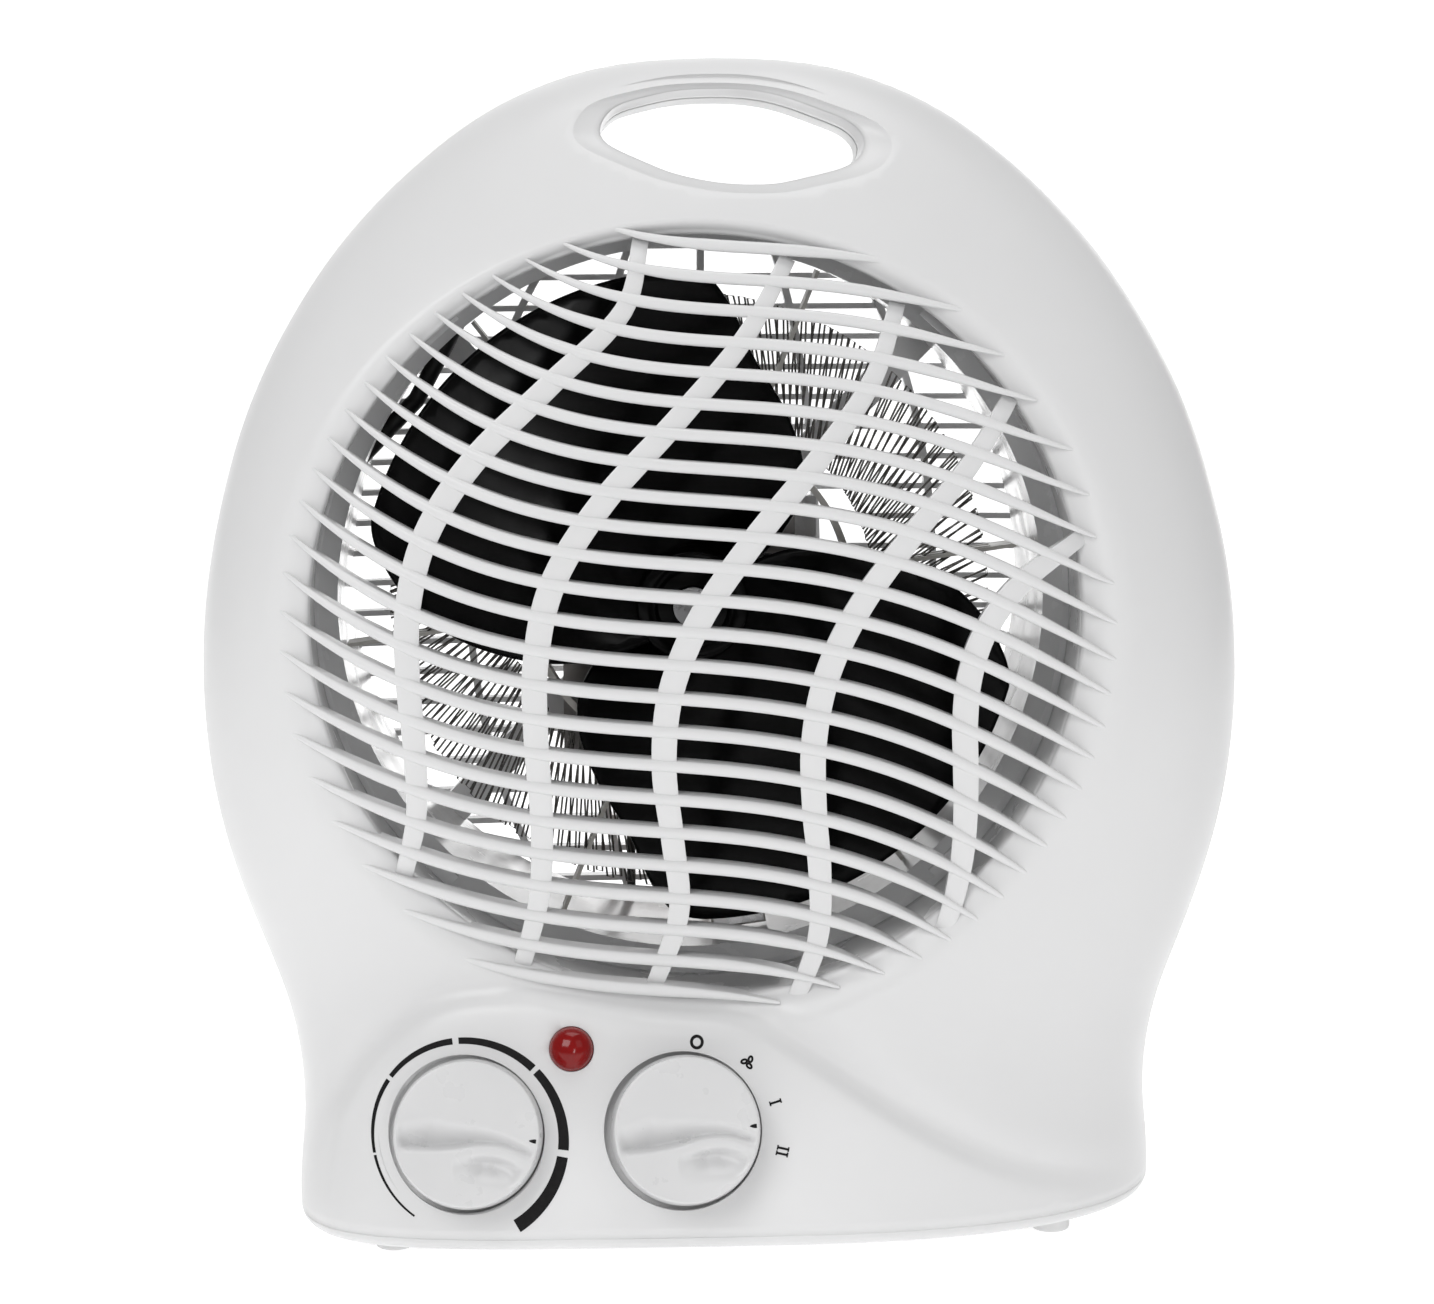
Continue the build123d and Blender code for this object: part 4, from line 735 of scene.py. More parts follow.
def front_shell():
    zmin = BASE + BOT_R
    sh = Sheet(FRONT, zmin, TOP)
    rim = ellipse_loop(TIP_X, TIP_Z, TIP_RX + 1.5, TIP_RZ + 1.5, 240)
    slot_o = slot_loop(96, 6.0, 1.6, -0.3)
    holes = [rim, slot_o]
    seats = [(KNOB_L, KNOB_RADIUS + 0.7, 0.45), (KNOB_R, KNOB_RADIUS + 0.8, 0.55)]
    for p, r, off in seats:
        holes.append(seat_loop(p - off * E1, r, 72))
    holes.append(seat_loop(LENS_P, 4.75, 36))
    d = SW_LINE[:-1] - SW_LINE[1:]
    nrm = np.stack([d[:, 1], -d[:, 0]], 1)
    nrm /= np.linalg.norm(nrm, axis=1)[:, None]
    mid = 0.5 * (SW_LINE[:-1] + SW_LINE[1:])
    ok = (mid[:, 1] > 9.0) & (mid[:, 0] < 84)
    chains = []
    for off in (0.0, 1.0, 2.0, -1.0, -2.4, -3.8, -5.2):
        c = mid[ok] - off * -1.0 * -nrm[ok]
        inside = np.abs(c[:, 0] - cx_of(c[:, 1])) < w_of(c[:, 1]) - 2.0
        r = ((c[:, 0] - TIP_X) / (TIP_RX + 2.5)) ** 2 + ((c[:, 1] - TIP_Z) / (TIP_RZ + 2.5)) ** 2 > 1
        g = inside & r
        run = []
        for q, keep in zip(c, g):
            if keep:
                run.append(q)
            elif len(run) > 3:
                chains.append(resample(np.array(run), step=1.5))
                run = []
            else:
                run = []
        if len(run) > 3:
            chains.append(resample(np.array(run), step=1.5))
    V, F = sh.triangulate(holes, chains)
    M = Mesh()
    M.add(V, F)
    bottom_strip(M, FRONT, zmin, False)
    # outlet rim: eases down, rounds over and turns in
    a = np.linspace(0, 2 * math.pi, 240, endpoint=False)
    E0 = rim
    E1_ = ellipse_loop(OUT_X, OUT_Z, OUT_RX, OUT_RZ, 240)
    rows = []
    for s in np.linspace(0, 1, 12):
        q = E0 * (1 - s) + E1_ * s
        P = FRONT.point(q[:, 0], q[:, 1])
        k = blend(s, 0.4, 1.0)
        P[:, 1] = P[:, 1] * (1 - k) + dome_y(q[:, 0], q[:, 1]) * k + 3.2 * s ** 1.8
        rows.append(P)
    edge = rows[-1]
    inward = np.stack([OUT_X - edge[:, 0], np.zeros(240), OUT_Z - edge[:, 2]], 1)
    inward /= np.linalg.norm(inward, axis=1)[:, None]
    for t in np.linspace(0, 1, 6)[1:]:
        ang = t * math.pi / 2
        P = edge + inward * 1.0 * math.sin(ang)
        P[:, 1] += 1.0 * (1 - math.cos(ang)) + 0.25 * t
        rows.append(P)
    last = rows[-1].copy()
    for t in np.linspace(0, 1, 9)[1:]:
        P = last.copy()
        P[:, 1] = last[:, 1] * (1 - t) - 20.6 * t
        P += -inward * 0.35 * t
        rows.append(P)
    rows[0] = FRONT.point(E0[:, 0], E0[:, 1])
    M.grid(np.array(rows[:17]), close_v=True)
    # the turned-in collar takes the lighter copy of the shell plastic: painted light in place of the light reaching
    # inside
    M.grid(np.array(rows[16:]), close_v=True, m=1)
    # slot flare and tunnel
    S0, S1 = slot_o, slot_loop(96, 0.0, 0.0, 0.0)
    rows = []
    for t, dy in ((0.0, 0.0), (0.06, 0.25), (0.25, 1.0), (0.5, 1.8), (0.75, 2.4), (0.9, 2.8), (0.98, 3.3), (1.0, 4.2)):
        q = S0 + (S1 - S0) * t
        P = FRONT.point(q[:, 0], q[:, 1])
        P[:, 1] += dy
        rows.append(P)
    S2 = slot_loop(96, 0.0, 0.0, -1.4)
    edge = rows[-1]
    for t in np.linspace(0, 1, 6)[1:]:
        y = edge[:, 1] * (1 - t) + 0.0 * t
        q = S1 * (1 - t) + S2 * t
        rows.append(np.stack([q[:, 0], y, q[:, 1]], 1))
    M.grid(np.array(rows), close_v=True)
    # knob seats
    for p, r, off in seats:
        n = 72
        c = p - off * E1
        loop = seat_loop(c, r, n)
        top = FRONT.point(loop[:, 0], loop[:, 1])
        ang = np.linspace(0, 2 * math.pi, n, endpoint=False)
        ringv = np.cos(ang)[:, None] * E1 + np.sin(ang)[:, None] * E2
        hs = ((top - p) @ KNOB_N)[:, None]
        lowh = np.minimum(hs - 2.4, -2.6)
        rows = [top, top - 0.1 * ringv - 0.15 * KNOB_N, c + (r - 0.12) * ringv + (hs - 0.6) * KNOB_N,
                c + (r - 0.16) * ringv + lowh * KNOB_N, p + 15.2 * ringv + lowh * KNOB_N, p + 15.1 * ringv - 1.1 * KNOB_N,
                p + 9.4 * ringv - 1.1 * KNOB_N, p + 4.2 * ringv - 1.1 * KNOB_N]
        M.grid(np.array(rows), close_v=True)
    n = 36
    loop = seat_loop(LENS_P, 4.75, n)
    top = FRONT.point(loop[:, 0], loop[:, 1])
    ang = np.linspace(0, 2 * math.pi, n, endpoint=False)
    ringv = np.cos(ang)[:, None] * E1 + np.sin(ang)[:, None] * E2
    rows = [top, LENS_P + 4.7 * ringv - 0.3 * KNOB_N, LENS_P + 4.65 * ringv - 0.6 * KNOB_N, LENS_P + 4.02 * ringv - 0.62 * KNOB_N]
    M.grid(np.array(rows), close_v=True)
    crown_cap(M, FRONT, False)
    o = M.build("front_shell", [SHELL, PAINTED_LIGHT_WHITE], sharp=50, out=(0, -1, 0))
    m = o.modifiers.new("wall", "SOLIDIFY")
    m.thickness = 0.0022
    m.offset = -1.0
    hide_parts("front_cover")
    return o


front = front_shell()


def front_normal(x, z):
    e = 0.4
    px = (dome_y(x + e, z) - dome_y(x - e, z)) / (2 * e)
    pz = (dome_y(x, z + e) - dome_y(x, z - e)) / (2 * e)
    n = np.stack([px, -np.ones_like(px), pz], -1)
    return n / np.linalg.norm(n, axis=-1, keepdims=True)


def louvre_z(x, k):
    t = (k - 11.5) / 11.5
    u = (np.asarray(x, float) - LX0) / 80.0
    z = sum(c * t ** j for j, c in enumerate(L_Z)) + 0 * u
    for i, row in enumerate(L_C):
        z = z + u ** (i + 1) * sum(c * t ** j for j, c in enumerate(row))
    return z


def sweep_rib(M, line, half, front_off, depth, crown, ends):
    """A moulded rib along an (x, z) line: rounded front, drafted sides, running back along +Y."""
    n = len(line)
    t = np.gradient(line, axis=0)
    t /= np.linalg.norm(t, axis=1)[:, None]
    nx, nz = -t[:, 1], t[:, 0]
    prof = []
    for a in np.linspace(-math.pi / 2, math.pi / 2, 9):
        prof.append((math.sin(a), crown * (1 - math.cos(a))))
    prof = [(-0.8, None)] + prof + [(0.8, None)]
    rows = []
    for s, dy in prof:
        h = half * s
        x = line[:, 0] + nx * h
        z = line[:, 1] + nz * h
        yc = dome_y(line[:, 0], line[:, 1])
        if dy is None:
            y = yc + depth
        else:
            y = yc + front_off + dy
        rows.append(np.stack([x, y, z], 1))
    rows = np.array(rows)
    M.grid(rows)
    M.grid(rows[[-1, 0]])
    if ends:
        M.cap(rows[:, 0])
        M.cap(rows[:, -1], flip=True)


def louvres():
    M = Mesh()
    for k in range(24):
        xl, xr = TIPS[k]
        x = np.linspace(xl, xr, 90)
        line = np.stack([x, louvre_z(x, k)], 1)
        seg = np.concatenate([[0], np.cumsum(np.linalg.norm(np.diff(line, axis=0), axis=1))])
        s = np.linspace(0, seg[-1], 90)
        line = np.stack([np.interp(s, seg, line[:, 0]), np.interp(s, seg, line[:, 1])], 1)
        e = np.minimum(s, seg[-1] - s)
        k_end = np.clip(e / 24.0, 0, 1)
        half = 0.28 + 0.98 * k_end ** 0.8
        front_off = 0.25 + 0.6 * np.exp(-e / 3.2)
        depth = 3.2 + 4.3 * np.clip((e - 2.0) / 9.0, 0, 1)
        sweep_rib(M, line, half, front_off, depth, 1.15 * half / 1.5, True)
    o = M.build("outlet_louvres", SHELL, sharp=60)
    return o


def bars():
    M = Mesh()
    for b in BARS:
        line = resample(b, n=70)
        s = np.linspace(0, 1, 70)
        half = 1.75 + 0.95 * np.sin(math.pi * np.clip(s * 1.05, 0, 1)) ** 0.8
        d = np.linalg.norm(np.diff(line, axis=0), axis=1).sum()
        e = np.minimum(s, 1 - s) * d
        sweep_rib(M, line, half, 0.9 + 2.6 * np.exp(-e / 3.0), 6.5 + 0 * s, 0.25, True)
    return M.build("outlet_bars", SHELL, sharp=60)


louvre_obj = louvres()
bar_obj = bars()


def rear_shell():
    zmin = BASE + BOT_R
    sh = Sheet(REAR, zmin, TOP)
    hole = ellipse_loop(INLET_X, INLET_Z, INLET_R + 1.6, INLET_R + 0.6, 240)
    slot_o = slot_loop(96, 5.6, 2.2, -3.6)
    holes = [hole, slot_o]
    for x, z in COVER_SCREWS:
        holes.append(ellipse_loop(x, z, 4.2, 4.2, 28))
    holes.append(ellipse_loop(CORD_X, CORD_Z, 8.3, 8.3, 40))
    V, F = sh.triangulate(holes, [])
    M = Mesh()
    M.add(V, F)
    bottom_strip(M, REAR, zmin, True)
    E1_ = ellipse_loop(INLET_X, INLET_Z, INLET_R, INLET_R - 1.0, 240)
    rows = []
    for t in np.linspace(0, 1, 6):
        a = t * math.pi / 2
        q = hole + (E1_ - hole) * math.sin(a)
        P = REAR.point(q[:, 0], q[:, 1])
        P[:, 1] -= 1.6 * (1 - math.cos(a))
        rows.append(P)
    for dy in (1.5, 3.0):
        P = rows[5].copy()
        P[:, 1] -= dy
        rows.append(P)
    M.grid(np.array(rows), close_v=True, flip=True)
    S1 = slot_loop(96, 0.4, 0.0, -2.6)
    rows = []
    for t in np.linspace(0, 1, 9):
        a = t * math.pi / 2
        q = slot_o + (S1 - slot_o) * math.sin(a)
        P = REAR.point(q[:, 0], q[:, 1])
        P[:, 1] -= 4.5 * (1 - math.cos(a))
        rows.append(P)
    S2 = slot_loop(96, 0.0, 0.0, -1.4)
    edge = rows[-1]
    for t in np.linspace(0, 1, 6)[1:]:
        y = edge[:, 1] * (1 - t)
        q = S1 * (1 - t) + S2 * t
        rows.append(np.stack([q[:, 0], y, q[:, 1]], 1))
    M.grid(np.array(rows), close_v=True, flip=True)
    for x, z in COVER_SCREWS:
        loop = ellipse_loop(x, z, 4.2, 4.2, 28)
        top = REAR.point(loop[:, 0], loop[:, 1])
        rows = [top]
        for r, dy in ((3.95, 0.25), (3.8, 0.8)):
            q = ellipse_loop(x, z, r, r, 28)
            rows.append(np.stack([q[:, 0], top[:, 1] - dy, q[:, 1]], 1))
        q = ellipse_loop(x, z, 3.75, 3.75, 28)
        rows.append(np.stack([q[:, 0], np.full(28, 14.0), q[:, 1]], 1))
        q = ellipse_loop(x, z, 1.7, 1.7, 28)
        rows.append(np.stack([q[:, 0], np.full(28, 14.0), q[:, 1]], 1))
        M.grid(np.array(rows), close_v=True, flip=True)
    loop = ellipse_loop(CORD_X, CORD_Z, 8.3, 8.3, 40)
    top = REAR.point(loop[:, 0], loop[:, 1])
    rows = [top]
    for r, y in ((8.05, None), (8.0, CORD_SEAT), (6.1, CORD_SEAT), (6.1, 44.0)):
        q = ellipse_loop(CORD_X, CORD_Z, r, r, 40)
        yy = top[:, 1] - 0.3 if y is None else np.full(40, y)
        rows.append(np.stack([q[:, 0], yy, q[:, 1]], 1))
    M.grid(np.array(rows), close_v=True, flip=True)
    crown_cap(M, REAR, True)
    o = M.build("rear_shell", REARM, sharp=50, out=(0, 1, 0))
    m = o.modifiers.new("wall", "SOLIDIFY")
    m.thickness = 0.0022
    m.offset = -1.0
    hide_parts("rear_cover")
    return o


rear = rear_shell()


def rear_grille():
    M = Mesh()

    def rib(line, half, depth):
        n = len(line)
        t = np.gradient(line, axis=0)
        t /= np.linalg.norm(t, axis=1)[:, None]
        nx, nz = -t[:, 1], t[:, 0]
        yc = REAR.plain_y(line[:, 0], line[:, 1])
        rows = []
        for s, dy in [(-0.85, depth)] + [(math.sin(a), 0.4 + 0.7 * half * (1 - math.cos(a)))
                                         for a in np.linspace(-math.pi / 2, math.pi / 2, 7)] + [(0.85, depth)]:
            rows.append(np.stack([line[:, 0] + nx * half * s, yc - dy, line[:, 1] + nz * half * s], 1))
        rows = np.array(rows)
        M.grid(rows, flip=True)
        M.grid(rows[[-1, 0]], flip=True)
        M.cap(rows[:, 0], flip=True)
        M.cap(rows[:, -1])

    for i in range(-11, 12):
        z = INLET_Z + i * 7.0
        h = math.sqrt(max(0.0, (INLET_R + 0.8) ** 2 - (z - INLET_Z) ** 2))
        x = np.linspace(INLET_X - h, INLET_X + h, 50)
        rib(np.stack([x, np.full(50, z)], 1), 0.75, 4.2)
    for k in (-2, -1, 0, 1, 2):
        z = np.linspace(INLET_Z - INLET_R - 0.5, INLET_Z + INLET_R + 0.5, 60)
        x = INLET_X + k * 27.0 * np.sqrt(np.maximum(0.02, 1 - ((z - INLET_Z) / 96.0) ** 2))
        lim = ((x - INLET_X) / (INLET_R + 0.8)) ** 2 + ((z - INLET_Z) / (INLET_R + 0.4)) ** 2 < 1
        rib(np.stack([x, z], 1)[lim], 0.95, 4.5)
    # the grille slats take the lighter copy of the shell plastic: painted light for the shaded interior
    return M.build("inlet_grille", PAINTED_LIGHT_WHITE, sharp=60)


rear_g = rear_grille()


# --------------------------------------------------------------------- knobs
CREST = [(-16.0, -3.0), (-12.1, -3.2), (-7.0, -3.45), (-2.8, -3.35), (1.0, -2.9), (3.9, -2.75), (7.0, -3.15), (9.4, -3.9),
         (12.0, -5.2), (16.0, -7.2)]


def soft(t):
    t = np.clip(t, 0, 1)
    return t * t * (3 - 2 * t)


def knob_height(a, b, turn):
    """Face of a knob: an S-shaped crest between a long scoop above it and a short one below."""
    c, s = math.cos(turn), math.sin(turn)
    u, v = a * c + b * s, -a * s + b * c
    cu = np.array([q[0] for q in CREST])
    cv = np.array([q[1] for q in CREST])
    line = sum(np.interp(u + k, cu, cv) for k in (-1.5, -0.75, 0.0, 0.75, 1.5)) / 5
    t = v - line
    wide = np.interp(u, [-12, -7, -2, 3, 9, 14], [6.6, 7.6, 6.0, 4.4, 3.6, 3.2])
    deep = np.interp(u, [-15, -12, -8, -1, 5, 10, 13.5, 15], [0.5, 2.7, 3.8, 3.1, 1.9, 1.4, 1.2, 0.8])
    up = deep * soft(t / 1.5) * (1 - soft((t - 1.1) / (wide - 1.1)))
    q = -t
    low = np.interp(u, [-3, 0, 3, 6, 9, 12], [0.0, 1.1, 2.6, 2.8, 1.7, 0.0]) * soft((q - 1.3) / 1.9) * (1 - soft((q - 3.0) / 5.5))
    r = np.hypot(u, v)
    rim = soft((14.7 - r) / 1.8)
    return 12.55 - 0.55 * (r / 15.0) ** 2 - (up + low) * rim


def knob(name, p, node, body, pointer_deg, turn_deg):
    """Round knob with a drafted skirt and a sculpted face."""
    M = Mesh()
    na = 168
    turn = math.radians(turn_deg)
    ang = np.linspace(0, 2 * math.pi, na, endpoint=False)
    ca, sa = np.cos(ang), np.sin(ang)
    rows = []
    for r in np.concatenate([np.linspace(0.35, 14.3, 34), [14.5]]):
        h = knob_height(r * ca, r * sa, turn)
        rows.append(p + (r * ca)[:, None] * E1 + (r * sa)[:, None] * E2 + h[:, None] * KNOB_N)
    h0 = knob_height(14.5 * ca, 14.5 * sa, turn)
    for t in np.linspace(0, 1, 5)[1:]:
        g = t * math.pi / 2
        r = 14.5 + 0.45 * math.sin(g)
        h = h0 - 0.45 * (1 - math.cos(g))
        rows.append(p + (r * ca)[:, None] * E1 + (r * sa)[:, None] * E2 + h[:, None] * KNOB_N)
    for r, h in ((15.05, 9.6), (15.2, 7.2), (15.4, 4.0), (15.58, 1.4), (15.62, 0.5), (15.5, 0.1), (15.2, -0.2),
                 (13.8, -0.25), (13.6, 2.0), (4.0, 2.2)):
        rows.append(p + (r * ca)[:, None] * E1 + (r * sa)[:, None] * E2 + h * KNOB_N)
    P = np.array(rows)
    M.grid(P, close_v=True)
    M.cap(P[0], flip=True)
    o = M.build(name, KNOBM, body=body, sharp=50)
    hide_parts(node)

    def height(a, b):
        return knob_height(a, b, turn)

    # pointer notch: no notch is cut into the face; a thin black wedge laid on it is painted shade standing in for the
    # shadow inside the notch
    M = Mesh()
    a = math.radians(pointer_deg)
    d = np.array([math.cos(a), math.sin(a)])
    q = np.array([-d[1], d[0]])
    pts = []
    for rr, hw in ((12.9, 0.08), (13.4, 0.3), (13.9, 0.42), (14.35, 0.42)):
        for sgn in (-1, 1):
            ab = d * rr + q * hw * sgn
            h = float(height(np.array([ab[0]]), np.array([ab[1]]))[0])
            pts.append(p + ab[0] * E1 + ab[1] * E2 + (h + 0.03) * KNOB_N)
    pts = np.array(pts).reshape(4, 2, 3)
    M.grid(pts)
    M.grid(pts - 0.3 * KNOB_N, flip=True)
    ring = [pts[i, 0] for i in range(4)] + [pts[i, 1] for i in range(3, -1, -1)]
    M.grid(np.array([ring, [v - 0.3 * KNOB_N for v in ring]]), close_v=True)
    M.build(name + "_pointer_notch_shade", PRINT_AND_NOTCH_SHADE, body=body, sharp=30)
    return o


knob_l = knob("thermostat_knob_grip", KNOB_L, "thermostat_knob", "thermostat_dial", -7.0, 0.0)
knob_r = knob("switch_knob_grip", KNOB_R, "switch_knob", "switch_dial", 2.5, 9.0)


def lens():
    M = Mesh()
    n = 48
    ang = np.linspace(0, 2 * math.pi, n, endpoint=False)
    ringv = np.cos(ang)[:, None] * E1 + np.sin(ang)[:, None] * E2
    rows = []
    prof = [(2.6, -8.6), (3.95, -8.6), (3.95, -0.7), (4.55, -0.55), (4.62, 0.1), (4.5, 0.35)]
    for r, h in prof:
        rows.append(LENS_P + r * ringv + h * KNOB_N)
    for t in np.linspace(0, 1, 12)[1:-1]:
        a = t * math.pi / 2
        rows.append(LENS_P + 4.4 * math.cos(a) * ringv + (0.35 + 2.75 * math.sin(a)) * KNOB_N)
    M.grid(np.array(rows), close_v=True, flip=True)
    M.cap(rows[-1], flip=False)
    inner = [LENS_P + 2.6 * ringv - 8.6 * KNOB_N, LENS_P + 2.6 * ringv - 2.0 * KNOB_N]
    M.grid(np.array(inner), close_v=True)
    M.cap(inner[-1])
    o = M.build("neon_lens_dome", LENSM, sharp=40)
    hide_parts("neon_lens")
    return o


lens_o = lens()


# ---------------------------------------------------------------- dial marks
def surf_at(p, a, b, lift):
    """Point on the control face at local (a, b) from axis point p, lifted along the face."""
    a = np.asarray(a, float)
    b = np.asarray(b, float)
    q = p + a[..., None] * E1 + b[..., None] * E2
    s = FRONT.point(q[..., 0].ravel(), q[..., 2].ravel()).reshape(q.shape)
    return s + lift * KNOB_N


def marks():
    M = Mesh()

    def patch(A, B, p):
        top = surf_at(p, A, B, 0.035)
        low = surf_at(p, A, B, -0.25)
        M.grid(top)
        M.grid(low, flip=True)
        ring = lambda G: np.vstack([G[0], G[1:, -1], G[-1, ::-1][1:], G[::-1, 0][1:-1]])
        M.grid(np.array([ring(top), ring(low)]), close_v=True)

    seg = [(236.6, 193.0), (191.6, 145.7), (143.0, 97.7), (94.0, 45.4), (42.5, -7.0), (-11.0, -59.6)]
    r_in = 19.15

    def thick(a):
        t = (236.6 - a) / (236.6 + 59.6)
        return 0.52 + 0.9 * t + 1.75 * t * t

    for a0, a1 in seg:
        a = np.linspace(a0, a1, 26)
        th = thick(a)
        rr = np.stack([r_in + 0.15 * np.abs(th - 1.2), r_in + th], 0)
        A = rr * np.cos(np.radians(a)) - 0.6
        B = rr * np.sin(np.radians(a)) - 0.6
        patch(A, B, KNOB_L)

    def local(x, z):
        return x - KNOB_R[0], (z - KNOB_R[2]) / math.cos(TILT)

    # ring mark
    a0, b0 = local(-6.6, 44.3)
    a = np.linspace(0, 2 * math.pi, 33)
    A = np.stack([a0 + 0.82 * np.cos(a), a0 + 1.45 * np.cos(a)], 0)
    B = np.stack([b0 + 0.9 * np.sin(a), b0 + 1.55 * np.sin(a)], 0)
    patch(A, B, KNOB_R)
    # single and double bar, turned to face the knob
    for x, z, ang, n in ((9.6, 32.0, 16.7, 1), (10.9, 22.2, -13.3, 2)):
        a0, b0 = local(x, z)
        d = np.array([math.cos(math.radians(ang)), math.sin(math.radians(ang))])
        q = np.array([-d[1], d[0]])
        for k in range(n):
            off = (k - (n - 1) / 2) * 1.15
            A = np.array([[a0 + d[0] * s + q[0] * (off + w) for s in np.linspace(-1.15, 1.15, 4)] for w in (-0.24, 0.24)])
            B = np.array([[b0 + d[1] * s + q[1] * (off + w) for s in np.linspace(-1.15, 1.15, 4)] for w in (-0.24, 0.24)])
            patch(A, B, KNOB_R)
            for e in (-1.15, 1.15):
                A = np.array([[a0 + d[0] * (e + s) + q[0] * (off + w) for s in (-0.16, 0.16)] for w in (-0.5, 0.5)])
                B = np.array([[b0 + d[1] * (e + s) + q[1] * (off + w) for s in (-0.16, 0.16)] for w in (-0.5, 0.5)])
                patch(A, B, KNOB_R)
    # three-bladed fan sign
    a0, b0 = local(4.0, 40.1)
    ring = np.linspace(0, 2 * math.pi, 21)
    for k in range(3):
        g = math.radians(47.6 + 120 * k)
        ca, cb = a0 + 0.8 * math.cos(g), b0 + 0.8 * math.sin(g)
        ux, uy = math.cos(g + 0.5), math.sin(g + 0.5)
        rows_a, rows_b = [], []
        for r1, r2 in ((0.34, 0.16), (0.84, 0.62)):
            e1, e2 = r1 * np.cos(ring), r2 * np.sin(ring)
            rows_a.append(ca + ux * e1 - uy * e2)
            rows_b.append(cb + uy * e1 + ux * e2)
        patch(np.array(rows_a), np.array(rows_b), KNOB_R)
    return M.build("dial_marks", PRINT_AND_NOTCH_SHADE, sharp=30)


marks_o = marks()


# ------------------------------------------------------------ heating element
def winding(name, node, y, slant, phase, count):
    M = Mesh()
    n = count
    r0, r1 = 40.0, 66.0
    pts = []
    for i in range(n):
        a = 2 * math.pi * i / n + phase
        for f, rr in ((-0.16, r1 - 0.5), (0.16, r1 - 0.5), (0.36, r0 + 0.5), (0.64, r0 + 0.5)):
            sl = math.radians(slant) * (0.5 if rr > 50 else -0.5)
            b = a + 2 * math.pi * f / n + sl
            pts.append((AX + rr * math.cos(b), y, AZ + rr * math.sin(b)))
    P = np.array(pts)
    m = 5
    t = np.roll(P, -1, 0) - np.roll(P, 1, 0)
    t /= np.linalg.norm(t, axis=1)[:, None]
    up = np.array([0.0, 1.0, 0.0])
    side = np.cross(t, up)
    side /= np.linalg.norm(side, axis=1)[:, None]
    rows = []
    for k in range(m):
        g = 2 * math.pi * k / m
        rows.append(P + 0.24 * (math.cos(g) * side + math.sin(g) * up))
    M.grid(np.array(rows), close_u=True, close_v=True)
    o = M.build(name, WIRE, sharp=80)
    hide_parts(node)
    return o


wind_a = winding("heating_wire_front", "heater_winding_front", -2.9, 15.0, 0.0, 92)
wind_b = winding("heating_wire_rear", "heater_winding_rear", 1.0, 12.0, 0.013, 94)

# ----------------------------------------------------------------------- fan
BLADE = [(10.5, 4.0), (22.0, 16.0), (25.0, 27.0), (21.0, 40.0), (14.0, 52.0), (8.5, 64.0), (1.5, 70.2), (-15.0, 69.4),
         (-34.0, 62.3), (-50.0, 50.4), (-62.0, 34.6), (-68.0, 20.0), (-66.0, 9.5), (-58.0, -1.5), (-46.0, -9.0),
         (-29.0, -12.5), (-12.0, -9.0)]


def blade_y(x, z):
    """The sheet twists from rear to front as the angle runs on."""
    a = np.degrees(np.arctan2(z, x)) % 360.0
    a = np.where(a > 300.0, a - 360.0, a)
    r = np.hypot(x, z)
    q = np.clip((a - 75.0) / 125.0, -0.5, 1.12)
    return -11.0 - 13.5 * q - 1.6 * np.sin(math.pi * q) * (r / 71.0)


